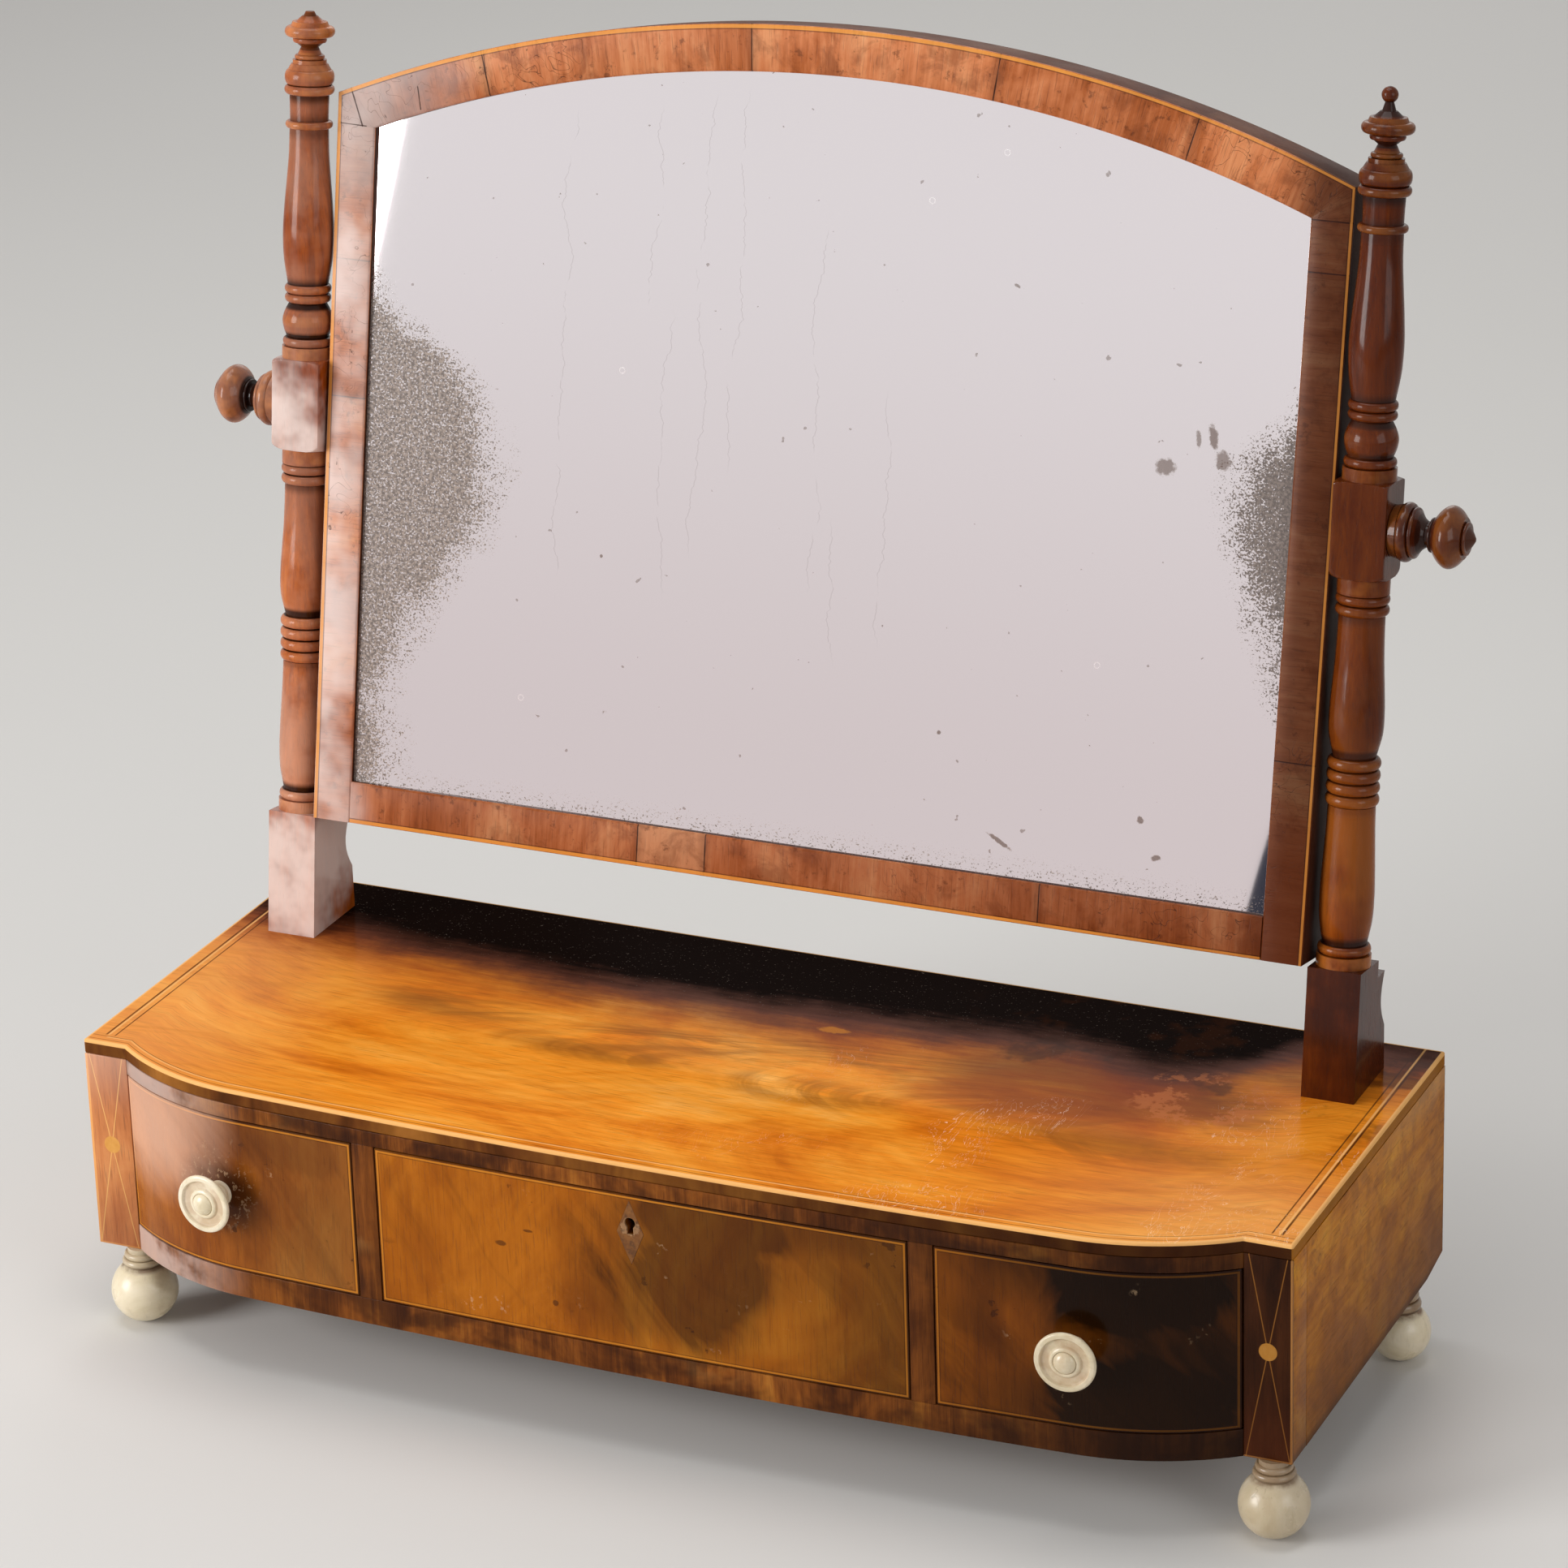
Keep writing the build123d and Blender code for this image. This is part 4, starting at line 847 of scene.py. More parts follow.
def drawerMaterial(name, look, low, high):
    shader, world, rough, height = woodShader(f"{name}DrawerVeneer", look, 2, None)
    x, z = world.part(0), world.part(2)
    lean = shader.joined(x + z * 0.7, 0.0, z * 0.6)
    bent = shader.bent(lean, world.noise(6.0, 3.0, 0.55, 0.5, colour=True), (0.10, 0.0, 0.10))
    flame = bent.noise(16.0, 5.0, 0.62, 0.6, (1.0, 1.0, 0.6))
    spread = 0.0
    across, up = x * 1000, (z - underside) * 1000
    for spot in look["places"]:
        spread = (away(across, up, spot) + (flame - 0.5) * 5.0).rise(2.4, -0.9) + spread
    shader.lay(spread.least(1.0) * look["smoky"], look["smoke"])
    shader.lay(x.rise(0.02, 0.13) * look.get("shaded", 0.0), look["smoke"])
    cloud = flame.rise(0.46, 0.64) * world.noise(8.0, 2.0).rise(0.40, 0.60)
    shader.lay(cloud * 0.35, look["smoke"])
    wisps = bent.noise(80.0, 4.0, 0.66, 0.2, (1.0, 1.0, 0.2)).rise(0.50, 0.70)
    shader.lay(wisps * 0.18, look["smoke"])
    specks = world.noise(130.0, 3.0, 0.6).over(0.68, 0.02) * world.noise(20.0, 2.0).rise(0.5, 0.6)
    shader.lay(specks * 0.6, "2a1208")
    for spot in look.get("dents", []):
        dent = (away(across, up, spot) + (world.noise(300.0, 2.0) - 0.5) * 1.2).under(0.8, 0.3)
        shader.lay(dent * 0.7, "43200a")
    edge = (x - low.x).least(high.x - x).least(z - low.z).least(high.z - z) * 1000
    string = edge.over(0.8, 0.12) * edge.under(look["string"], 0.14)
    shader.lay(edge.under(0.8, 0.15) * 0.7, "220d06")
    inside = edge.over(look["string"], 0.1) * edge.under(look["string"] + 0.45, 0.12)
    shader.lay(inside * 0.5, "220d06")
    # painted shade: the stringing dimmed towards the right
    paintedLightLevel = 1.0 - x.rise(0.0, 0.25) * 0.82
    shader.lay(string * (0.45 + world.noise(50.0, 2.0) * 0.6) * paintedLightLevel, look["box"])
    dust = world.noise(40.0, 3.0, 0.6).over(0.66, 0.04) * world.noise(420.0, 2.0).over(0.60, 0.04)
    if name == "left":  # rubbed dark and dusty round its knob, with the knob's shadow painted in
        knobLow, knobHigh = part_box("left_drawer_knob")
        middle = (knobLow + knobHigh) * 500
        far = away(x * 1000, z * 1000, (middle.x, middle.z, 1, 1)).math("SQRT")
        # dirt and a painted shadow of the knob, darkest round its stem
        rubbedAndPaintedLight = (far + (world.noise(60.0, 4.0) - 0.5) * 22).rise(24.0, 9.0)
        shader.lay(rubbedAndPaintedLight * 0.78, "2a1208")
        # painted glare: a pale wash at the drawer's upper left corner
        haze = (away(across, up, look["haze"]) + (flame - 0.5) * 1.6).rise(1.4, 0.0)
        shader.lay(haze * 0.66, "e4b498")
        dust = dust.most(rubbedAndPaintedLight * world.noise(380.0, 4.0, 0.7).over(0.585, 0.03))
    shader.lay(dust * 0.35, "d8b48c")
    return finishWood(shader, rough + dust * 0.2, height)


# The keyhole: a round with a slot below it, and the pointed plate let in round it
keyhole = {"x": -2.0, "z": 75.0, "radius": 2.5, "slot": 3.0, "drop": 5.5, "halfWide": 6.5, "halfHigh": 15.4}


def keyholeOutline(shape):
    start = math.asin(shape["slot"] / 2 / shape["radius"])
    turn = np.linspace(-np.pi / 2 + start, 1.5 * np.pi - start, 40)
    ring = np.column_stack([np.cos(turn), np.sin(turn)]) * shape["radius"]
    foot = np.array([(-shape["slot"] / 2, -shape["drop"]), (shape["slot"] / 2, -shape["drop"])])
    return np.array((shape["x"] * mm, underside + shape["z"] * mm)) + np.concatenate([ring, foot]) * mm


lockLow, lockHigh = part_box("drawer_lock")
plateLow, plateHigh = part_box("escutcheon")
plateMiddle = np.array(((plateLow.x + plateHigh.x) / 2, (plateLow.z + plateHigh.z) / 2))
halfWide, halfHigh = keyhole["halfWide"], keyhole["halfHigh"]
diamond = np.array([(0, halfHigh), (halfWide, 0), (0, -halfHigh), (-halfWide, 0)])
drawerFrontDepth = 12 * mm
tailStand = 0.12 * mm  # the walls' tails stand this far out of the front's ends
cutPast = 5 * mm  # how far a cutter reaches past what it cuts
for name, look in drawerLooks.items():
    low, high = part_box(f"{name}_drawer_front")
    material = drawerMaterial(name, {**drawerShape, **look}, low, high)
    stands = [f"{name}_drawer_front", f"{name}_drawer_stringing"]
    piece = f"{name}DrawerFront"
    left, right = low.x + tailStand, high.x - tailStand
    grid = boardGrid(left, right, frontCurve, backCurve(drawerFrontDepth), low.z, high.z, *boards["drawer"])
    mesh = gridMesh(piece, [grid])
    if name == "centre":  # its keyhole, the seat of the plate and the mortise for the lock
        corners = rectangle(lockLow.x, lockHigh.x, lockLow.z, high.z + mm)
        cutters = [
            prism("keyholeCutter", keyholeOutline(keyhole), low.y - cutPast, high.y + cutPast),
            prism("plateCutter", plateMiddle + diamond * mm, low.y - cutPast, plateHigh.y),
            prism("lockCutter", corners, lockLow.y, high.y + cutPast),
        ]
        mesh = cutFrom(piece, mesh, cutters)
    finishPiece(piece, mesh, f"{name}_drawer", stands, material, sharp=25.0)
print("drawer fronts made")

# Posts: turned, in dark polished mahogany with the crests of the rings rubbed to orange, and a painted highlight on
# them
postLook = {
    "scale": 16.0,
    "curl": 0.7,
    "long": 0.2,
    "fibre": 0.35,
    "pores": 0.3,
    "rough": 0.24,
    "roughVary": 0.16,
    "sheen": 0.06,
    "coat": 0.26,
    "coatRough": 0.1,
    "stops": [(0.30, "561e06"), (0.45, "863a0c"), (0.56, "ac5414"), (0.70, "ca7220")],
    "rubbedAndPaintedLight": "d4823a",
    "grime": "160804",
}


def postMaterial(name, look, turned=True):
    shader, place, rough, height = woodShader(name, look, 2, None)
    x, z = place.part(0), place.part(2)
    if turned:
        stand = shader.own("turn").part(2)
        # the crests lighter: wear and a painted highlight
        crest = stand.rise(0.25, 1.1) * place.noise(70.0, 3.0, 0.6).rise(0.36, 0.64)
        groove = (-stand).rise(0.10, 0.80)
        shader.lay(crest * 0.5, look["rubbedAndPaintedLight"])
        shader.lay(groove * 0.92, look["grime"])
        rough = rough + groove * 0.3
    warm = place.noise(9.0, 2.0, 0.5, 0.6).rise(0.45, 0.66)
    shader.lay(warm * 0.35, "b85c1c")
    if turned:
        # painted glare on the left post
        paintedGlareOnPost = x.rise(-0.2, -0.25) * place.noise(30.0, 4.0, 0.6).rise(0.25, 0.60)
        shader.lay(paintedGlareOnPost * (1 - groove) * (0.24 + z.rise(0.3, 0.2) * 0.36), "dca88c")
        # painted highlight: warm orange low on the right post
        paintedWarmHighlight = x.rise(0.1, 0.2) * z.rise(0.38, 0.26) * place.noise(24.0, 3.0).rise(0.35, 0.60)
        shader.lay(paintedWarmHighlight * (1 - groove) * 0.42, "d07c2c")
    else:
        # stains low down, with painted shade that darkens them on the right
        stainAndShade = place.noise(28.0, 4.0, 0.65).rise(0.40, 0.62) * z.rise(0.24, 0.18)
        shader.lay(stainAndShade * x.rise(0.1, 0.24) * 0.6, "1c0804")
        # painted glare on the left blocks' faces
        paintedGlareOnBlock = x.rise(-0.2, -0.25) * place.noise(20.0, 4.0, 0.6).rise(0.30, 0.60)
        shader.lay(paintedGlareOnBlock * 0.8, "ecdad2")
    shaded = x.rise(0.0, 0.2) * (z.rise(0.2, 0.34) * 0.3 + 0.32 if turned else 0.76)
    shader.lay(shaded, "2c0e05")
    return finishWood(shader, rough, height)


postTurning = {
    "rake": 8.0,
    "setback": 149.0,
    "width": 24.5,
    "bracket": 57.5,
    "block": 42.7,
    "shoulders": (4.5, 1.8),
    "easing": 0.5,
    "sunk": 0.1,
    "turnedDown": 0.3,
    # the cove behind the bracket: the back's depth, where it starts and ends, and how deep it is cut
    "back": 28.4,
    "ledge": 49.4,
    "coveTop": 47.2,
    "coveLow": 21.0,
    "cove": 5.0,
    "lower": [
        ("band", 5.4, 12.1),
        ("bead", 4.8, 9.6, 11.8),
        ("vase", 62.2, 9.8, 11.6, 12.0, 11.7, 11.2, 10.7, 10.4),
        *[("bead", 5.4, 9.6, 11.8)] * 4,
        ("vase", 62.9, 9.4, 11.8, 12.0, 11.4, 10.7, 10.3, 10.1),
        *[("bead", 4.8, 9.6, 11.8)] * 2,
        ("band", 7.0, 11.5),
    ],
    "upper": [
        ("band", 5.5, 11.8),
        ("bead", 4.4, 9.6, 11.5),
        ("vase", 16.0, 9.7, 11.2, 11.7, 10.6, 8.5),
        ("bead", 4.3, 8.8, 10.7),
        ("bead", 4.3, 9.0, 10.8),
        ("vase", 72.0, 9.4, 11.3, 11.8, 11.2, 10.2, 9.3, 9.0),
        ("bead", 3.6, 9.3, 10.9),
        ("band", 12.0, 8.8, 9.1),
        ("bead", 4.4, 9.6, 11.5),
        ("bead", 7.0, 9.6, 11.4),
        ("band", 2.6, 9.9, 8.4),
        ("band", 1.9, 7.8),
    ],
    "finial": [
        ("bead", 2.2, 6.0, 6.9),
        ("band", 3.4, 5.6, 4.0),
        ("band", 2.0, 4.0, 6.4),
        ("bead", 2.6, 7.0, 7.8),
        ("bead", 5.0, 9.3, 11.5),
        ("band", 2.0, 8.8, 8.0),
        ("band", 2.6, 6.5, 3.6),
    ],
    "neck": ("band", 3.7, 3.0, 1.9),
    "stub": ("band", 2.0, 3.0, 2.0),
    "ball": 3.6,
    "knobGap": 0.3,
    "knob": [
        ("band", 3.4, 11.2, 12.0),
        ("bead", 4.8, 11.2, 13.0),
        ("bead", 2.2, 10.2, 11.2),
        ("vase", 4.4, 10.2, 7.2, 5.6),
        ("band", 1.6, 5.4),
        ("bead", 1.4, 7.0, 7.6),
        ("vase", 13.6, 7.6, 11.8, 13.7, 12.6, 9.0),
        ("bead", 1.6, 6.7, 7.4),
        ("vase", 3.0, 5.4, 3.4, 0.9),
    ],
}
rake = math.radians(postTurning["rake"])
postAxis = Vector((0, math.sin(rake), math.cos(rake)))
lowerEnd = postTurning["bracket"] + sum(feature[1] for feature in postTurning["lower"])
upperStart = lowerEnd + postTurning["block"]
finialStart = upperStart + sum(feature[1] for feature in postTurning["upper"])


def blockGrid(origin, low, high, half, shoulderLow, shoulderHigh):
    # a square section whose corners the lathe has rounded off towards both ends: at each angle the
    # radius is the smaller of the square's (its edges eased) and the lathe's own curve
    angle = np.linspace(0, 2 * np.pi, 128, endpoint=False)
    power = 46.0
    square = half / (np.abs(np.cos(angle)) ** power + np.abs(np.sin(angle)) ** power) ** (1 / power)
    starts, ends = np.linspace(0, 1, 8) ** 1.5, np.linspace(1, 0, 6) ** 1.3
    up = np.concatenate([low + shoulderLow * starts, high - shoulderHigh * ends])
    least, most = half - postTurning["turnedDown"], half * math.sqrt(2)
    fromLow = np.clip((up - low) / shoulderLow, 0, 1)
    fromHigh = np.clip((high - up) / shoulderHigh, 0, 1)
    swell = np.minimum(np.sqrt(1 - (1 - fromLow) ** 2), np.sqrt(1 - (1 - fromHigh) ** 2))
    lathe = least + (most - least) * swell
    radius = np.minimum(square[None, :], lathe[:, None])
    turn = np.stack(np.broadcast_arrays(angle, up[:, None], 0 * radius), axis=-1)
    return roundAxis(origin, postAxis, Vector((1, 0, 0)), up, radius, angle), {"turn": turn}


def bracketGrid(origin, half):
    # the outline of the base block in Y and Z, its back cut with a cove, carried along X
    place, out = postTurning, np.array((math.cos(rake), -math.sin(rake)))
    axis = np.array((math.sin(rake), math.cos(rake)))
    wide = place["width"] / 2
    front = [np.array((-wide / math.cos(rake), 0.0)), axis * place["bracket"] - out * wide]
    back, top, low = place["back"], place["coveTop"], place["coveLow"]
    rear = [axis * place["bracket"] + out * wide, axis * place["ledge"] + out * wide, np.array((back, top))]
    sweep = np.linspace(0, 1, 9)[1:-1]
    cove = [np.array((back - place["cove"] * math.sin(math.pi * part), top + (low - top) * part)) for part in sweep]
    outline = np.array(front + rear + cove + [np.array((back, low)), np.array((back, 0.0))])
    rows = [np.column_stack([np.full(len(outline), x), outline]) * mm + np.array(origin) for x in (-half, half)]
    return np.array(rows), {"turn": np.zeros((2, len(outline), 3))}


turnedPolish = postMaterial("turnedPolish", postLook)
knobLook = {**postLook, "stops": [(0.30, "3c1206"), (0.45, "5e240c"), (0.56, "783814"), (0.70, "94501e")], "coat": 0.4}
knobPolish = postMaterial("knobPolish", knobLook)
blockPolish = postMaterial("blockPolish", postLook, False)
for hand in ("left", "right"):
    low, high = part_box(f"{hand}_post")
    origin = Vector(((low.x + high.x) / 2, faceY + postTurning["setback"] * mm, caseTop))
    half = postTurning["width"] / 2
    grids = [
        latheGrid(origin, postAxis, (1, 0, 0), turnProfile(postTurning[part], start - postTurning["sunk"]))
        for part, start in (("lower", postTurning["bracket"]), ("upper", upperStart))
    ]
    finishPiece(f"{hand}PostTurning", grids, "case", f"{hand}_post", turnedPolish)
    grids = [bracketGrid(origin, half), blockGrid(origin, lowerEnd, upperStart, half, *postTurning["shoulders"])]
    blocks = finishPiece(f"{hand}PostBlocks", grids, "case", None, blockPolish, sharp=30.0)
    easing = blocks.modifiers.new("easing", "BEVEL")
    easing.width, easing.segments, easing.limit_method = postTurning["easing"] * mm, 2, "ANGLE"
    easing.angle_limit = math.radians(35)

    broken = hand == "left"  # its ball is gone
    tip = postTurning["stub" if broken else "neck"]
    profile = turnProfile([*postTurning["finial"], tip], finialStart, 0.0 if broken else postTurning["ball"])
    grid = latheGrid(origin, postAxis, (1, 0, 0), profile, sides=64)
    finishPiece(f"{hand}Finial", [grid], "case", f"{hand}_finial", turnedPolish)

    sign = -1 if hand == "left" else 1
    start = Vector((sign * (abs(origin.x) + (half + postTurning["knobGap"]) * mm), pivot.y, pivot.z))
    grid = latheGrid(start, (sign, 0, 0), (0, 0, 1), turnProfile(postTurning["knob"], 0.0), sides=64)
    screw = f"{hand}_tilt_screw"
    finishPiece(f"{hand}TiltKnob", [grid], screw, f"{hand}_tilt_knob", knobPolish)
print("posts made")


# Bone: feet and drawer knobs
boneLook = {
    "stops": [(0.25, "cbb795"), (0.42, "decfae"), (0.55, "e8dabd"), (0.72, "f0e4cc")],
    "dirt": "6a4424",
    "dirty": 0.75,
    "crack": "7d705a",
    "cracks": 1.0,
    "rough": 0.30,
    "neck": None,
    "shaded": 0.22,
}


def boneMaterial(name, look):
    # dirt gathers where a turned shape stands in: none at the first depth in mm, all of it at the second
    shader = Shader(name)
    place = shader.place()
    stand = shader.own("turn").part(2)
    shader.colour = shader.ramp(place.noise(45.0, 5.0, 0.6, 0.8), look["stops"])
    streaks = place.noise(260.0, 4.0, 0.7, 0.0, (1.0, 1.0, 0.12))
    shader.lay(streaks.rise(0.54, 0.74) * 0.30, "ab9d80")
    split = abs(place.noise(60.0, 3.0, 0.5, 0.6, (1.0, 1.0, 0.22)) - 0.5).under(0.003, 0.0025)
    crack = split * place.noise(38.0, 2.0).rise(0.54, 0.62) * look["cracks"]
    shader.lay(crack * 0.40, look["crack"])
    stain = place.noise(75.0, 3.0, 0.6).rise(0.60, 0.72)
    shader.lay(stain * 0.25, "b98a5a")
    dirt = (-stand).rise(*look["dirtAt"]) * place.noise(150.0, 3.0, 0.6).rise(0.2, 0.6)
    shader.lay(dirt * look["dirty"], look["dirt"])
    neck = look["neck"]
    if neck:  # brown grime round the neck, darkest where it meets the ball, and painted shade that darkens it towards the right
        level, rightward = place.part(2) * 1000, place.part(0).rise(-0.2, 0.2)
        grimeAndShade = place.noise(110.0, 3.0, 0.6) * 0.5 + rightward * 0.45 + 0.12
        shader.lay((level.rise(neck - 0.9, neck + 0.4) * grimeAndShade).least(0.9), "7a5836")
        ring = level.rise(neck - 0.6, neck + 0.3) * level.rise(neck + 1.8, neck + 0.9)
        shader.lay(ring * (0.45 + rightward * 0.4), "4a3018")
    shader.lay(place.part(0).rise(0.05, 0.24) * look["shaded"], "9a8264")
    rough = look["rough"] + dirt * 0.3 + (place.noise(90.0, 3.0) - 0.5) * 0.2
    height = place.noise(240.0, 3.0, 0.6) * 0.3 - crack * 0.6
    shader.set(Subsurface_Weight=0.08, Subsurface_Radius=(0.004, 0.003, 0.002), Coat_Weight=0.15, Coat_Roughness=0.2)
    return shader.set(Base_Color=shader.colour, Roughness=rough, Normal=shader.bump(height, 0.00006))


# Feet: radii in mm, and the shares of the neck's height that its band and two rings take
footShape = {
    "height": 37.5,
    "front": 15.5,
    "back": 13.9,
    "neck": 6.7,
    "throat": 8.0,
    "rings": (8.3, 9.4),
    "shares": (0.28, 0.34, 0.38),
}
footBone = {
    "front": boneMaterial("frontFootBone", {**boneLook, "dirtAt": (0.2, 1.2), "neck": 28.8, "shaded": 0.42}),
    "back": boneMaterial(
        "backFootBone", {**boneLook, "dirty": 0.9, "dirtAt": (0.1, 1.0), "neck": 25.4, "shaded": 0.0}
    ),
}
for place in ("front_left", "front_right", "back_left", "back_right"):
    low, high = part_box(f"foot_{place}")
    row = place.split("_")[0]
    ball = footShape[row]
    neck = footShape["height"] - ball - math.sqrt(ball**2 - footShape["throat"] ** 2)
    band, upper, lower = (share * neck for share in footShape["shares"])
    features = [
        ("band", band, footShape["neck"]),
        ("bead", upper, footShape["neck"], footShape["rings"][0]),
        ("bead", lower, footShape["throat"], footShape["rings"][1]),
    ]
    origin = Vector(((low.x + high.x) / 2, (low.y + high.y) / 2, underside))
    grid = latheGrid(origin, (0, 0, -1), (1, 0, 0), turnProfile(features, 0.0, ball), sides=96)
    name = "foot" + "".join(word.capitalize() for word in place.split("_"))
    finishPiece(name, [grid], "case", f"foot_{place}", footBone[row])

knobShape = {
    "radius": 13.8,
    "reach": 16.5,
    "rim": 1.2,
    "stem": 4.2,
    "ring": 1.4,
    "dish": 1.3,
    "button": 2.4,
    "across": {"left": -209.0, "right": 202.0},
    # shares of the stem's radius: its base, the base's front edge, and where the back begins to flare
    "base": (1.4, 1.3, 1.1),
    # shares of the rim's radius: the ring's outer and inner edges
    "rings": (0.6, 0.42),
    # dirt: within this radius on the front, and all behind this length as if it stood in by this much
    "dished": 11.2,
    "dirtyTo": 8.0,
    "standIn": -0.6,
}


def knobProfile(shape):
    # a stem and a dished back, then the rim, a groove, a ring and the domed button, from back to front
    rim, face = shape["radius"] - shape["rim"], shape["reach"] - shape["button"]
    ringOut, ringIn = (rim * share for share in shape["rings"])
    base, baseFront, flare = (shape["stem"] * share for share in shape["base"])
    turn = np.linspace(-np.pi / 2, np.pi / 2, 9)
    swell = np.linspace(0, 1, 9)
    along = [[0, 0, shape["ring"], shape["ring"]], face / 2 + (face / 2 - 2 * shape["rim"]) * swell]
    radius = [[0, base, baseFront, shape["stem"]], flare + (rim - flare) * swell**1.6]
    along.append(face - shape["rim"] + shape["rim"] * np.sin(turn))
    radius.append(rim + shape["rim"] * np.cos(turn))
    inner = rim - shape["rim"]
    dip = np.linspace(0, 1, 7)
    along += [[face], face - shape["dish"] * np.sin(dip * np.pi / 2), [face - shape["dish"]]]
    radius += [[inner], inner - shape["rim"] * dip, [ringOut]]
    along.append(face - shape["dish"] + shape["dish"] * np.sin(dip * np.pi * 0.62))
    radius.append(ringOut - (ringOut - ringIn) * dip)
    dome = np.linspace(0, np.pi / 2, 12)
    bottom = face - shape["dish"] / 2
    along.append(bottom + (shape["reach"] - bottom) * np.sin(dome))
    radius.append(ringIn * 0.96 * np.cos(dome))
    return np.concatenate(along), np.concatenate(radius)


knobDirt = {"dirt": "a06e38", "dirty": 0.46, "dirtAt": (0.15, 0.9)}
knobBone = boneMaterial("knobBone", {**boneLook, **knobDirt, "rough": 0.26, "cracks": 0.3})
for hand, x in knobShape["across"].items():
    low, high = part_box(f"{hand}_drawer_knob")
    centre = x * mm
    slope = float(bowDepth(centre + 1e-4) - bowDepth(centre - 1e-4)) / 2e-4
    outward = Vector((slope, -1, 0))
    origin = Vector((centre, faceY + float(bowDepth(centre)), (low.z + high.z) / 2))
    profile = knobProfile(knobShape)
    grid, own = latheGrid(origin, outward, (0, 0, 1), profile, sides=96)
    behindFace = profile[0] - (knobShape["reach"] - knobShape["button"])
    stand = np.where(profile[1] < knobShape["dished"], behindFace, 0.0)
    stand[profile[0] < knobShape["dirtyTo"]] = knobShape["standIn"]
    own["turn"][..., 2] = stand[:, None]
    finishPiece(f"{hand}DrawerKnob", [(grid, own)], f"{hand}_drawer", f"{hand}_drawer_knob", knobBone)
print("bone feet and knobs made")


# The mirror frame: crossbanded mahogany, a section carried along each member
frameShape = {
    "half": 244.0,
    "side": 339.4,
    "crest": 387.5,
    "depth": 26.0,
    "tilt": 11.2,
    "stile": 19.2,
    "arch": 21.0,
    "rail": 19.5,
    "lip": 3.0,
    "rebate": 6.0,
    "clearance": 0.5,
    "plate": 3.0,
    "pivotHeight": 194.4,
    "pivotDepth": 5.7,
}
tilt = math.radians(frameShape["tilt"])
frameUp = np.array((0, math.sin(tilt), math.cos(tilt)))
frameBehind = np.array((0, math.cos(tilt), -math.sin(tilt)))
frameOrigin = np.array(pivot) - mm * (frameShape["pivotHeight"] * frameUp + frameShape["pivotDepth"] * frameBehind)
archRise = frameShape["crest"] - frameShape["side"]
archRadius = (frameShape["half"] ** 2 + archRise**2) / (2 * archRise)
archCentre = frameShape["crest"] - archRadius
sightHalf = frameShape["half"] - frameShape["stile"]
sightRadius = archRadius - frameShape["arch"]
sightCorner = archCentre + math.sqrt(sightRadius**2 - sightHalf**2)


def framePlace(across, up, behind):
    # millimetres across, up and behind on the tilted frame, to the scene's own metres
    return frameOrigin + mm * (
        np.asarray(across)[..., None] * np.array((1.0, 0, 0))
        + np.asarray(up)[..., None] * frameUp
        + np.asarray(behind)[..., None] * frameBehind
    )


def upFrame(shader, world):
    # how far up the tilted frame a place lies, in millimetres
    return shader.along(shader.vector("SUBTRACT", world, tuple(frameOrigin)), tuple(frameUp)) * 1000


def memberSection(width, shape):
    # round the member from its outer front edge inwards: distance in from outside, and depth, in mm
    depth, lip, rebate = shape["depth"], shape["lip"], shape["rebate"]
    ease = 0.35
    return np.array(
        [
            (0.0, ease),
            (ease * 0.3, ease * 0.3),
            (ease, 0.0),
            (width / 2, 0.0),
            (width - 1.1, 0.0),
            (width - 0.45, 0.25),
            (width - 0.1, 0.8),
            (width, 1.5),
            (width, lip),
            (width - rebate, lip),
            (width - rebate, depth),
            (0.0, depth),
        ]
    )


def memberGrid(path, width, shape):
    # path gives, for each station, the outer point, the inward direction, the length so far and how much
    # wider the section is; "place" holds the length along the member, the distance in from its outer edge,
    # and the depth
    section = memberSection(width, shape)
    outer, inward, length, widen = path
    step = section[:, 0][None, :] * widen[:, None]
    across = outer[:, :1] + inward[:, :1] * step
    up = outer[:, 1:] + inward[:, 1:] * step
    behind = np.broadcast_to(section[:, 1], across.shape)
    place = np.stack(np.broadcast_arrays(length[:, None], section[:, 0], behind), axis=-1)
    return framePlace(across, up, behind), {"place": place}


def straightPath(start, end, inward, stations):
    # stations between two outer points
    share = np.linspace(0, 1, stations)
    run = np.array(end) - np.array(start)
    outer = np.array(start) + run * share[:, None]
    length = np.linalg.norm(run) * share
    return outer, np.broadcast_to(np.array(inward, dtype=float), outer.shape), length, np.ones(stations)


frameLook = {
    **bandLook,
    "scale": 22.0,
    "coat": 0.04,
    "stops": [(0.28, "743410"), (0.42, "aa5c2e"), (0.52, "c8784a"), (0.62, "da9262"), (0.76, "eab07e")],
    "box": "e09440",
    "dark": "2a120a",
    "corner": (-244.0, 344.0, 62, 70),
}
# Where the veneer's pieces meet, in mm along each member, and how light each piece between them is
jointsAlong = {
    "Left": ([199.8, 263.4], [0.50, 0.42, 0.55]),
    "Right": ([88.9, 301.7, 324.0], [0.55, 0.45, 0.62, 0.40]),
    "Bottom": ([148.4, 182.4, 345.3], [0.48, 0.95, 0.52, 0.60]),
    "Top": ([76.0, 211.0, 330.0, 425.0], [0.42, 0.52, 0.62, 0.50, 0.66]),
}
# Cracks at the frame's upper left corner: across and up at each end, and half width, in mm
cornerCracks = [
    (-231, 325, -238, 343, 0.30),
    (-229, 325, -243, 325.5, 0.22),
    (-203.5, 345, -201.5, 335, 0.26),
    (-171, 364, -169, 352, 0.2),
]


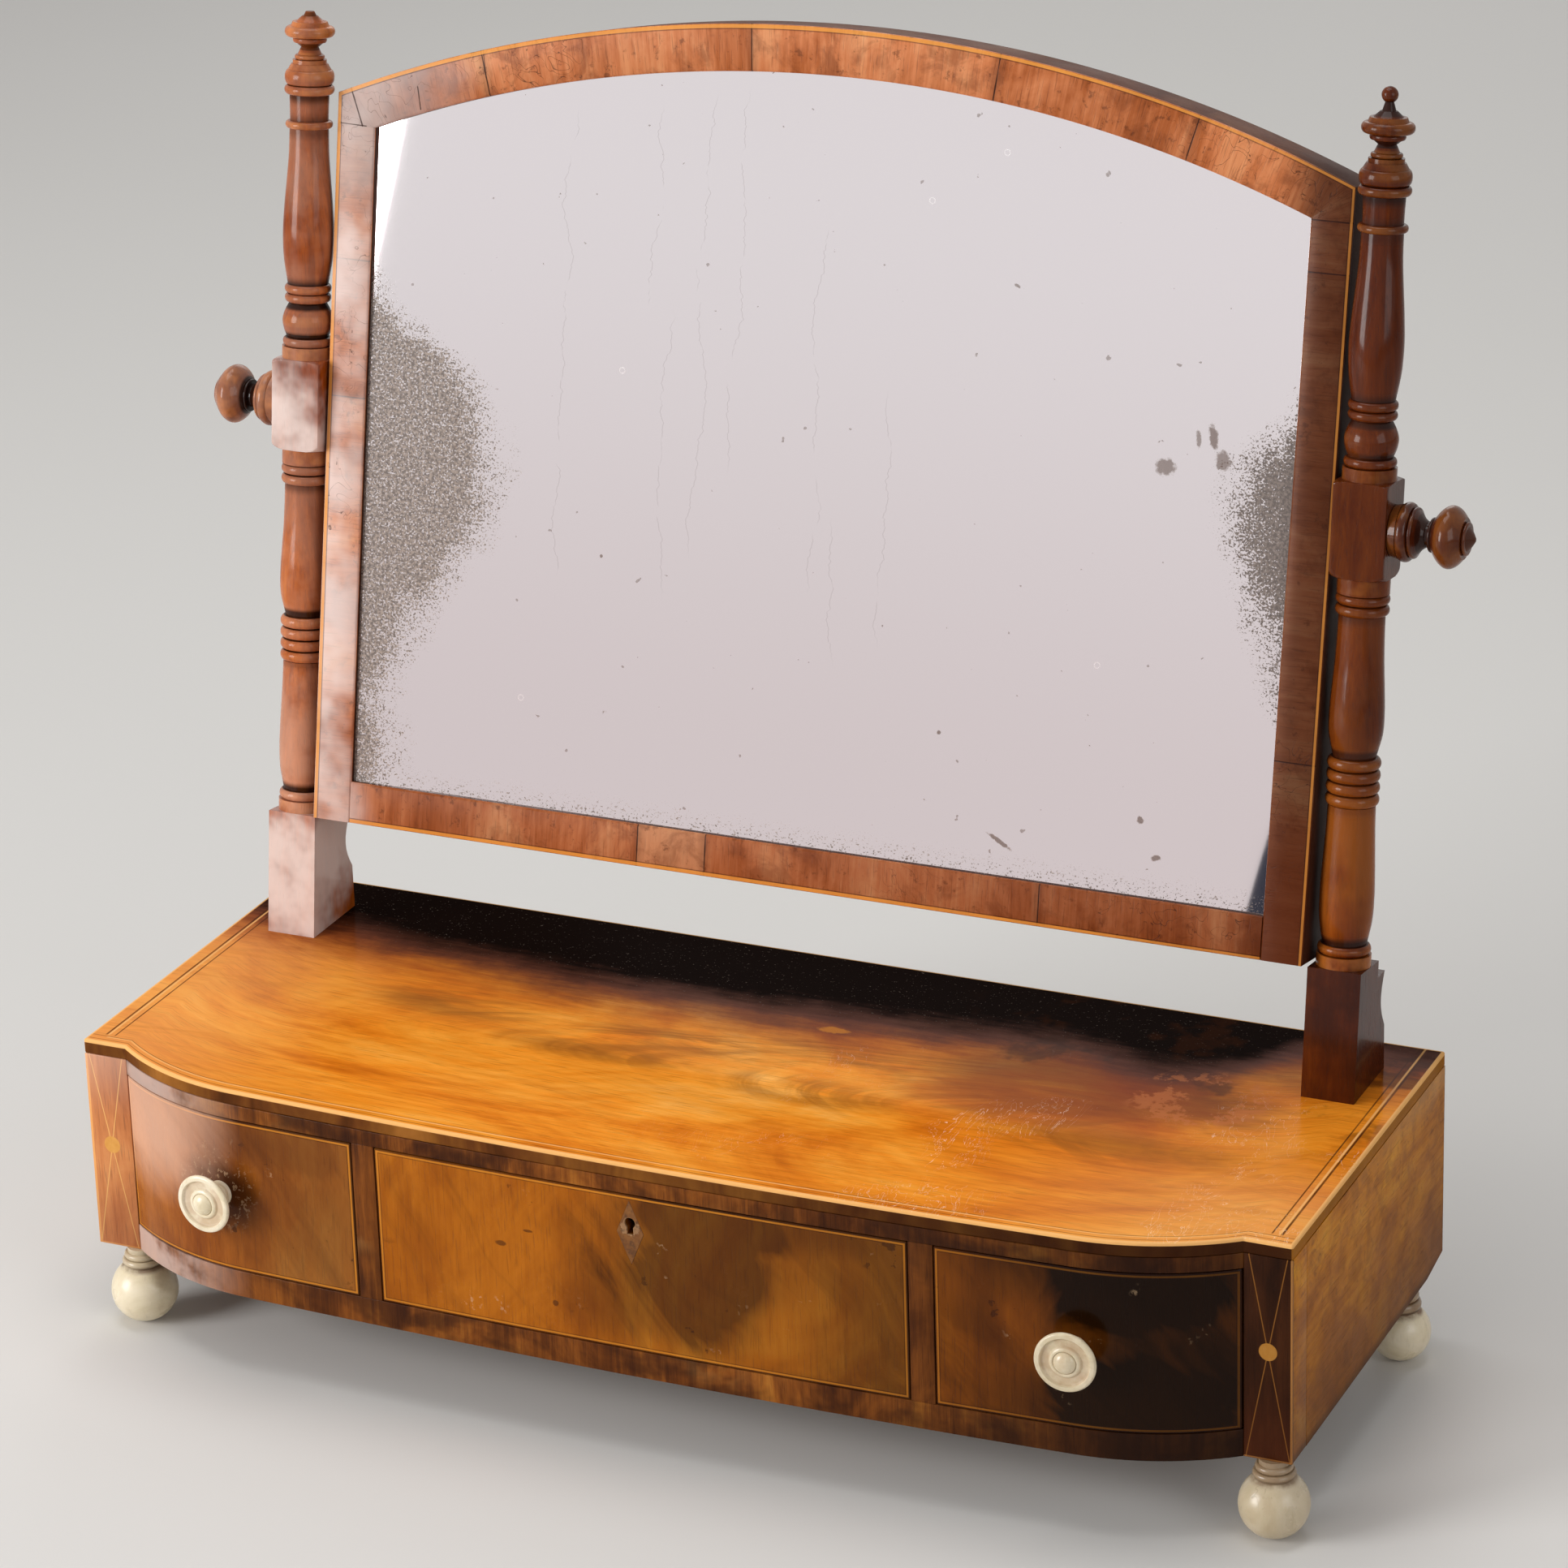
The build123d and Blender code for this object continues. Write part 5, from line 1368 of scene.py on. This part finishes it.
def frameMaterial(name, look, breaks, lights):
    # the grain runs across each member; its own field is shifted from one veneer piece to the next
    shader = Shader(f"frame{name}Veneer")
    own = shader.own("place")
    world = shader.place()
    along, inward, behind = own.part(0), own.part(1), own.part(2)
    x = world.part(0)
    piece = sum(along.over(place, 0.05) for place in breaks)
    shifted = shader.joined(along * 0.001, inward * 0.001 + piece * 0.37, behind * 0.001)
    shader.colour, height = woodGrain(shader, shifted, 1, look)
    light = lights[0]
    for place, before, after in zip(breaks, lights, lights[1:]):
        light = along.over(place, 0.3) * (after - before) + light
    patch = light + (world.noise(14.0, 3.0, 0.6) - 0.5) * 0.9
    shader.lay(patch.under(0.42, 0.3) * 0.55, "6c3212")
    shader.lay(patch.over(0.85, 0.2) * 0.55, "d89e74")
    mottle = world.noise(60.0, 5.0, 0.66, 0.5).rise(0.48, 0.66)
    shader.lay(mottle * 0.42, "5e280c")
    flecks = world.noise(170.0, 4.0, 0.7).rise(0.58, 0.68)
    shader.lay(flecks * 0.5, "3c1608")
    # painted shade: the right stile darkened
    shader.lay(x.rise(0.205, 0.232) * 0.84, "321304")
    # the frame darker low down, with painted shade darkening it further towards the right
    low = world.part(2).rise(pivot.z - 0.1, pivot.z - 0.17)
    shader.lay(low * (x.rise(-0.2, 0.25) * 0.42 + 0.22), "5a2608")
    # where two pieces of veneer meet
    near = abs(along - breaks[0])
    for place in breaks[1:]:
        near = near.least(abs(along - place))
    front = behind.under(0.9, 0.2)
    wander = (world.noise(120.0, 2.0) - 0.5) * 0.5
    joint = (near + wander).under(0.30, 0.16) * front
    shader.lay(near.under(2.5, 2.5) * front * 0.3, "4a1e0a")
    shader.lay(joint * 0.92, look["dark"])
    # the left stile paler: faded veneer and painted glare
    fadedAndGlare = x.rise(-0.205, -0.235) * world.noise(13.0, 4.0, 0.6).rise(0.38, 0.60)
    shader.lay(fadedAndGlare * 0.8 * front, "e0cec8")
    up = upFrame(shader, world)
    corner = (away(x * 1000, up, look["corner"]) + (world.noise(24.0, 4.0, 0.6) - 0.5) * 1.4).rise(1.4, 0.0)
    shader.lay(corner * 0.68 * front, "b4a8a4")
    for x0, up0, x1, up1, wideLine in cornerCracks:
        runX, runUp = x1 - x0, up1 - up0
        fromX, fromUp = x * 1000 - x0, up - up0
        share = ((fromX * runX + fromUp * runUp) * (1 / (runX**2 + runUp**2))).least(1.0).most(0.0)
        missX, missUp = fromX - share * runX, fromUp - share * runUp
        gap = (missX * missX + missUp * missUp).math("SQRT") + (world.noise(160.0, 2.0) - 0.5) * 0.5
        shader.lay(gap.under(wideLine, 0.2) * front * 0.85, look["dark"])
    # fine cracks, the boxwood edge, and the solid wood behind the veneer
    cracking = abs(world.noise(75.0, 2.0, 0.5, 1.2) - 0.5).under(0.0035, 0.0030)
    crack = cracking * world.noise(11.0, 2.0).over(0.55, 0.05) * front
    shader.lay(crack * 0.7, look["dark"])
    thin = 1.9 - x.rise(0.0, 0.23) * 0.5
    string = inward.over(0.25, 0.1) * (inward - thin).under(0.0, 0.15) * front
    # painted shade: the stringing dimmed towards the right
    paintedLightLevel = 1.0 - x.rise(0.12, 0.25) * 0.35
    shader.lay(string * (0.55 + world.noise(45.0, 3.0) * 0.5) * paintedLightLevel, look["box"])
    stringLine = (inward - thin).over(0.0, 0.12) * (inward - thin).under(0.5, 0.12) * front
    shader.lay(stringLine * 0.55, look["dark"])
    solid = behind.over(1.3, 0.2)
    shader.lay(solid * 0.86, "32170c")
    shader.lay(solid * inward.over(16.0, 1.0) * 0.6, "1d0d08")
    wearAndGlare = world.noise(35.0, 4.0, 0.65)
    rough = look["rough"] + (wearAndGlare - 0.5) * 0.3 + solid * 0.22
    shader.set(Specular_IOR_Level=0.08, Coat_Weight=look["coat"], Coat_Roughness=0.14)
    height = height - joint * 0.9 - crack * 0.9
    return finishWood(shader, rough, height)


def archPath(stations):
    # up the outer side, over the arch and down again; each section runs in to the sight's arch, or to its
    # corner where that arch has ended
    turn = math.asin(frameShape["half"] / archRadius)
    angle = np.linspace(-turn, turn, stations)
    climb = np.linspace(sightCorner, frameShape["side"], 9)[:-1]
    side = np.column_stack([np.full(len(climb), -frameShape["half"]), climb])
    arch = np.column_stack([archRadius * np.sin(angle), archCentre + archRadius * np.cos(angle)])
    outer = np.concatenate([side, arch, (side * (-1, 1))[::-1]])
    angles = np.concatenate([np.full(len(climb), -turn), angle, np.full(len(climb), turn)])
    inner = np.column_stack([sightRadius * np.sin(angles), archCentre + sightRadius * np.cos(angles)])
    past = np.abs(inner[:, 0]) > sightHalf
    inner[past] = np.column_stack([np.sign(inner[past, 0]) * sightHalf, np.full(past.sum(), sightCorner)])
    reach = np.linalg.norm(inner - outer, axis=1)
    step = np.concatenate([[0], np.linalg.norm(np.diff(outer, axis=0), axis=1)])
    length = np.cumsum(step) - (frameShape["side"] - sightCorner)
    return outer, (inner - outer) / reach[:, None], length, reach / frameShape["arch"]


half, side = frameShape["half"], frameShape["side"]
members = {
    "Left": (straightPath((-half, 0), (-half, sightCorner), (1, 0), 60), frameShape["stile"], ["frame_left_stile"]),
    "Right": (straightPath((half, 0), (half, sightCorner), (-1, 0), 60), frameShape["stile"], ["frame_right_stile"]),
    "Bottom": (
        straightPath((-sightHalf, 0), (sightHalf, 0), (0, 1), 60),
        frameShape["rail"],
        ["frame_bottom_rail", "frame_stringing"],
    ),
    "Top": (archPath(180), frameShape["arch"], ["frame_top_rail"]),
}
for name, (path, width, stands) in members.items():
    grid = memberGrid(path, width, frameShape)
    material = frameMaterial(name, frameLook, *jointsAlong[name])
    finishPiece(f"frame{name}", [grid], "mirror_frame", stands, material, sharp=50.0)
print("mirror frame made")

# The plate: old foxed silvering behind slightly wavy glass
plateLook = {"low": "f0e4e4", "high": "fdf7f8", "spot": "5c5048", "mark": "5e463a", "line": "8a7a74", "ring": 1.3}
# How far the foxing reaches in from the glass's left and right edges, by height up the frame, in mm
foxedLeft = [
    (0, 6), (24, 8), (46, 9), (65, 3), (83, 12), (99, 18), (123, 36), (146, 48),
    (169, 58), (190, 54), (206, 48), (222, 34), (236, 8), (262, -14), (290, -32),
]
foxedRight = [
    (60, -30), (100, -19), (116, -11), (136, -3), (169, 9), (190, 16), (212, 14), (226, 3),
    (242, -13), (270, -32),
]
# Marks where the silver has gone: across and up the frame, half width and half height, in mm, lean, depth of tone
plateMarks = [
    (165.8, 210.7, 4.4, 3.6, 0.0, 0.85),
    (192.0, 216.1, 3.4, 4.2, 0.1, 0.85),
    (187.0, 226.0, 2.0, 5.6, 0.2, 0.9),
    (180.2, 224.7, 1.2, 3.8, 0.1, 0.8),
    (99.0, 35.3, 7.6, 1.1, -0.55, 0.9),
    (164.7, 53.8, 1.5, 1.6, 0.0, 0.9),
    (173.0, 37.8, 2.2, 1.3, 0.2, 0.9),
    (67.4, 80.5, 0.9, 1.0, 0.0, 0.9),
    (92.4, 282.5, 1.7, 0.8, -0.5, 0.8),
    (-102.4, 140.2, 0.8, 0.8, 0.0, 0.9),
    (131.0, 334.5, 1.0, 1.0, 0.0, 0.7),
]
# Fine cracks in the silver that wander up it: across, and from how high to how high, in mm
plateCracks = [
    (-126, 120, 336), (-83, 240, 342), (-74, 130, 250), (-57, 150, 350),
    (-40, 190, 352), (0, 140, 300), (36, 120, 225), (12, 110, 165),
]
# Small bubbles: across and up, in mm
plateRings = [(50.1, 316.0), (84.0, 340.0), (-140.0, 70.0), (-96.0, 226.0), (140.0, 120.0)]


def plateMaterial(look):
    shader = Shader("foxedSilver")
    world = shader.place()
    across = world.part(0) * 1000
    up = upFrame(shader, world)
    flat = shader.joined(across * 0.001, up * 0.001, 0.0)
    shader.colour = shader.mix(up.rise(30.0, 340.0), tint(look["low"]), tint(look["high"]))
    # foxing, densest at the edges
    wide = (flat.noise(40.0, 4.0, 0.62) - 0.5) * 44
    leftReach = shader.curve(up, foxedLeft)
    rightReach = shader.curve(up, foxedRight)
    leftFox = (across + sightHalf + wide * 0.85 - leftReach).rise(26.0, -20.0)
    rightFox = (sightHalf - across + wide * 0.7 - rightReach).rise(26.0, -18.0)
    lowFox = (up + wide * 0.2).rise(34.0, 19.0) * 0.13
    foxed = leftFox.most(rightFox).most(lowFox)
    grain = flat.noise(1000.0, 2.0, 0.6)
    clump = flat.noise(300.0, 4.0, 0.65)
    crowded = foxed.least(across.rise(-60.0, 60.0) * 0.42 + 0.70) * 0.24
    dots = (grain * 0.66 + clump * 0.34 + crowded).rise(0.575, 0.630) * foxed.rise(0.0, 0.12)
    spotColour = shader.mix(flat.noise(700.0, 3.0, 0.6).rise(0.40, 0.62), tint(look["spot"]), tint("9a8a7e"))
    spotColour = shader.mix(across.rise(60.0, 180.0) * 0.5, spotColour, tint("3a2a22"))
    shader.lay(dots * 0.92, spotColour)
    lines = 0.0
    for number, (middle, low, high) in enumerate(plateCracks):
        own = shader.joined(number * 3.7, up * 0.001, 0.0)
        line = abs(across - middle + (own.noise(14.0, 2.0) - 0.5) * -24 + (own.noise(140.0, 4.0, 0.65) - 0.5) * -7)
        shown = up.over(low, 8.0) * up.under(high, 8.0) * own.noise(45.0, 3.0, 0.6).rise(0.40, 0.50)
        lines = line.under(0.15, 0.12) * shown + lines
    shader.lay(lines.least(1.0) * 0.27, look["line"])
    # marks and bubbles
    gone = 0.0
    ragged = (flat.noise(420.0, 3.0, 0.6) - 0.5) * 1.4
    for x, y, wideMark, highMark, lean, tone in plateMarks:
        offX, offY = across - x, up - y
        along = (offX + offY * lean) * (1 / wideMark)
        over = (offY - offX * lean) * (1 / highMark)
        gone = ((along * along + over * over).math("SQRT") + ragged).under(1.0, 0.25) * tone + gone
    gone = gone.least(1.0)
    shader.lay(gone * 0.9, look["mark"])
    rings = 0.0
    for x, y in plateRings:
        rings = abs(away(across, up, (x, y, 1, 1)).math("SQRT") - look["ring"]).under(0.25, 0.15) + rings
    specks = flat.noise(150.0, 2.0, 0.6).over(0.735, 0.01)
    shader.lay(specks * 0.6, look["mark"])
    silver = 1.0 - (dots * 0.9 + gone * 0.9 + rings * 0.35 + specks * 0.5).least(1.0)
    shader.set(Specular_IOR_Level=0.5, Coat_Weight=0.0, Roughness=0.015)
    bumped = shader.bump(flat.noise(5.0, 2.0, 0.4), 0.0001)
    return shader.set(Base_Color=shader.colour, Metallic=silver, Normal=bumped)


def plateGrid(shape):
    # places over the glass, which fills the rebate but for its clearance: across, and up from rail to arch
    fill = shape["rebate"] - shape["clearance"]
    wide, low, radius = sightHalf + fill, shape["rail"] - fill, sightRadius + fill
    share = np.linspace(-1, 1, 121)
    across = wide * share
    top = archCentre + np.sqrt(radius**2 - across**2)
    rise = np.linspace(0, 1, 81)
    up = low + (top - low)[None, :] * rise[:, None]
    return np.broadcast_to(across, up.shape), up


def plateMesh(shape):
    # two such sheets, front and back, with walls round their rim
    across, up = plateGrid(shape)
    near, far = shape["lip"], shape["lip"] + shape["plate"]
    rows, columns = across.shape
    layers = [framePlace(across, up, np.full_like(up, depth)).reshape(-1, 3) for depth in (near, far)]
    index = np.arange(rows * columns).reshape(rows, columns)
    quads = np.stack([index[:-1, :-1], index[:-1, 1:], index[1:, 1:], index[1:, :-1]], axis=-1).reshape(-1, 4)
    rim = np.concatenate([index[0, :-1], index[:-1, -1], index[-1, :0:-1], index[:0:-1, 0]])
    after = np.roll(rim, -1)
    count = rows * columns
    walls = np.stack([rim, rim + count, after + count, after], axis=-1)
    mesh = bpy.data.meshes.new("mirrorPlate")
    faces = np.concatenate([quads, quads[:, ::-1] + count, walls])
    mesh.from_pydata(np.concatenate(layers).tolist(), [], faces.tolist())
    mesh.update()
    return mesh


silver = plateMaterial(plateLook)
finishPiece("mirrorPlate", plateMesh(frameShape), "mirror_frame", "mirror_plate", silver, sharp=30.0)
print("mirror plate made")

# Bare pine inside and behind, oak-dark with age, and the metal parts
pineLook = {
    "scale": 20.0,
    "curl": 0.5,
    "long": 0.12,
    "fibre": 0.35,
    "pores": 0.0,
    "rough": 0.72,
    "roughVary": 0.15,
    "coat": 0.0,
    "stops": [(0.28, "6b4a2b"), (0.44, "8d6a42"), (0.55, "a5825a"), (0.72, "b8976b")],
}


def pineMaterial(name, look, along):
    shader, place, rough, height = woodShader(name, look, along, None)
    rings = place.noise(34.0, 2.0, 0.5, 0.3, stretched(along, 0.06)) * 9.0
    late = rings.math("FRACT").rise(0.62, 0.92)
    shader.lay(late * 0.42, "6f4522")
    dirt = place.noise(12.0, 4.0, 0.65).rise(0.44, 0.70)
    shader.lay(dirt * 0.45, "46301d")
    return finishWood(shader, rough, height + late * 0.3, 0.0001)


pineAcross = pineMaterial("pineAcross", pineLook, 0)
pineDeep = pineMaterial("pineDeep", pineLook, 1)
pineUp = pineMaterial("pineUp", pineLook, 2)
backPine = pineMaterial("backPine", {**pineLook, "stops": [(0.3, "50351e"), (0.5, "6f4d2e"), (0.7, "856240")]}, 0)
boardPine = pineMaterial("boardPine", {**pineLook, "stops": [(0.3, "4d3320"), (0.5, "664a30"), (0.7, "7b5d40")]}, 2)
setMaterial(["bottom_board", "back_board"], backPine)
setMaterial(["drawer_guides"], pineDeep)
setMaterial(["rear_foot_blocks", "plate_blocks"], pineUp)
setMaterial(["frame_backboard"], boardPine)
for name in ("left", "centre", "right"):
    setMaterial([f"{name}_drawer_left_wall", f"{name}_drawer_right_wall"], pineDeep)
    setMaterial([f"{name}_drawer_back", f"{name}_drawer_bottom"], pineAcross)


metalLooks = {
    "oldIron": {"base": "6f6964", "dull": "33261f", "rough": 0.38},
    "oldBrass": {"base": "b08a48", "dull": "5e4526", "rough": 0.30},
}


def metalMaterial(name):
    look = metalLooks[name]
    shader = Shader(name)
    place = shader.place()
    tarnish = place.noise(160.0, 4.0, 0.65).rise(0.38, 0.66)
    colour = shader.mix(tarnish, tint(look["base"]), tint(look["dull"]))
    scratches = place.noise(600.0, 2.0, 0.5, 0.0, (0.1, 1.0, 1.0))
    rough = look["rough"] + tarnish * 0.3 + (scratches - 0.5) * 0.15
    return shader.set(Base_Color=colour, Metallic=1.0, Roughness=rough, Normal=shader.bump(scratches, 0.00003))


setMaterial(["left_tilt_screw", "right_tilt_screw", "screw_plates", "lock_bolt"], metalMaterial("oldIron"))
setMaterial(["drawer_lock"], metalMaterial("oldBrass"))


# The key plate: a brown diamond of horn or bone, chipped round the keyhole
hornLook = {
    "stops": [(0.3, "4c2a0c"), (0.5, "704216"), (0.72, "8c5a26")],
    "chip": "b08a62",
    "grime": "3c2412",
    "rough": 0.42,
    "chipped": 4.2,
}


def hornMaterial(look):
    shader = Shader("keyPlateHorn")
    place = shader.place()
    shader.colour = shader.ramp(place.noise(160.0, 4.0, 0.65), look["stops"])
    across, up = place.part(0) * 1000, (place.part(2) - underside) * 1000
    far = away(across, up, (keyhole["x"], keyhole["z"] - 2.0, 1, 1)).math("SQRT")
    chips = (far + (place.noise(450.0, 3.0, 0.7) - 0.5) * 6).under(look["chipped"], 0.3)
    shader.lay(chips * 0.45, look["chip"])
    shader.lay(place.noise(300.0, 3.0, 0.7).over(0.60, 0.05) * 0.5, look["grime"])
    rough = look["rough"] + chips * 0.2
    shader.set(Specular_IOR_Level=0.3)
    height = place.noise(400.0, 3.0) - chips
    return shader.set(Base_Color=shader.colour, Roughness=rough, Normal=shader.bump(height, 0.00012))


inset = 0.06 * mm  # the plate lies this far inside its seat
stand = 0.12 * mm  # and stands this far before it
seat = plateMiddle + diamond * mm * (1 - inset / (halfWide * mm))
keyPlateMesh = cutFrom(
    "keyPlate",
    prism("keyPlate", seat, plateLow.y - stand, plateHigh.y),
    [prism("keyholeCutter", keyholeOutline(keyhole), plateLow.y - cutPast, plateHigh.y + cutPast)],
)
horn = hornMaterial(hornLook)
keyPlate = finishPiece("keyPlate", keyPlateMesh, "centre_drawer", "escutcheon", horn, sharp=30.0)
edging = keyPlate.modifiers.new("edging", "BEVEL")
edging.width, edging.segments, edging.limit_method = 0.15 * mm, 2, "ANGLE"
print("inner woods and metals made")


# Stage: a pale floor, a pale world, and soft lamps of which the strongest stands at the left
stageLook = {
    "reach": 9.0,
    "floor": "dcdad7",
    "floorShade": "d2cfcb",
    # the world: its colour and strength as it lights the scene, and as the camera and reflections see it
    "lighting": ((1.0, 0.985, 0.965, 1.0), 0.24),
    "seen": (tint("dad8d6"), 1.0),
}


def floorMaterial(look):
    shader = Shader("paleFloor")
    place = shader.place()
    colour = shader.mix(place.noise(3.0, 2.0) * 0.2, tint(look["floor"]), tint(look["floorShade"]))
    return shader.set(Base_Color=colour, Roughness=0.8)


def stagePanel(name, corners, material):
    mesh = bpy.data.meshes.new(name)
    mesh.from_pydata(corners, [], [(0, 1, 2, 3)])
    mesh.materials.append(material)
    panel = bpy.data.objects.new(name, mesh)
    bpy.context.scene.collection.objects.link(panel)
    return panel


reach = stageLook["reach"]
floorCorners = [(-reach, -reach, 0), (reach, -reach, 0), (reach, reach, 0), (-reach, reach, 0)]
stagePanel("stageFloor", floorCorners, floorMaterial(stageLook))


def glowMaterial(name, colour):
    shader = Shader(name)
    return shader.set(Base_Color=(0, 0, 0, 1), Emission_Color=colour, Emission_Strength=1.0, Roughness=1.0)


# Panels that only the glass sees: a pale studio wall, and a dark slit before it
glassPanels = {
    "glassWall": ("dcdadb", -4.2, [(-5.5, 0.001), (2.5, 0.001), (2.5, 3.6), (-5.5, 3.6)]),
    "glassSlit": ("343844", -4.17, [(-1.166, 0.02), (-1.06, 0.02), (-1.06, 0.235), (-1.132, 0.235)]),
}
for name, (code, y, outline) in glassPanels.items():
    panel = stagePanel(name, [(x, y, z) for x, z in outline], glowMaterial(name, tint(code)))
    for ray in ("camera", "diffuse", "shadow", "transmission"):
        setattr(panel, f"visible_{ray}", False)

world = bpy.data.worlds.new("studio")
bpy.context.scene.world = world
world.use_nodes = True
sky = world.node_tree
sky.nodes.clear()
output = sky.nodes.new("ShaderNodeOutputWorld")
path = sky.nodes.new("ShaderNodeLightPath")
choose = sky.nodes.new("ShaderNodeMixShader")
for place, key in enumerate(("lighting", "seen"), 1):
    backdrop = sky.nodes.new("ShaderNodeBackground")
    backdrop.inputs[0].default_value, backdrop.inputs[1].default_value = stageLook[key]
    sky.links.new(backdrop.outputs[0], choose.inputs[place])
either = path.outputs["Is Camera Ray"]
for ray in ("Is Glossy Ray", "Is Transmission Ray"):
    most = sky.nodes.new("ShaderNodeMath")
    most.operation = "MAXIMUM"
    sky.links.new(either, most.inputs[0])
    sky.links.new(path.outputs[ray], most.inputs[1])
    either = most.outputs[0]
sky.links.new(either, choose.inputs[0])
sky.links.new(choose.outputs[0], output.inputs[0])

lamps = {
    "keyLamp": {"place": (-2.02, -2.05, 1.0), "target": (0, 0, 0.3), "size": (1.3, 1.5), "power": 68.0},
    "fillLamp": {"place": (2.9, -1.3, 1.3), "target": (0, 0, 0.2), "size": (1.8, 1.8), "power": 22.0},
    "topLamp": {"place": (-0.3, 0.2, 2.9), "target": (0, 0, 0.2), "size": (2.0, 2.0), "power": 40.0},
    "backLamp": {"place": (-0.8, 3.0, 1.6), "target": (0, 0, 0.25), "size": (1.4, 1.4), "power": 9.0},
}
for name, lamp in lamps.items():
    data = bpy.data.lights.new(name, "AREA")
    data.shape = "RECTANGLE"
    data.size, data.size_y = lamp["size"]
    data.energy = lamp["power"]
    place, target = Vector(lamp["place"]), Vector(lamp["target"])
    holder = bpy.data.objects.new(name, data)
    holder.matrix_world = Matrix.Translation(place) @ (target - place).to_track_quat("-Z", "Y").to_matrix().to_4x4()
    bpy.context.scene.collection.objects.link(holder)
print("stage and lights set")
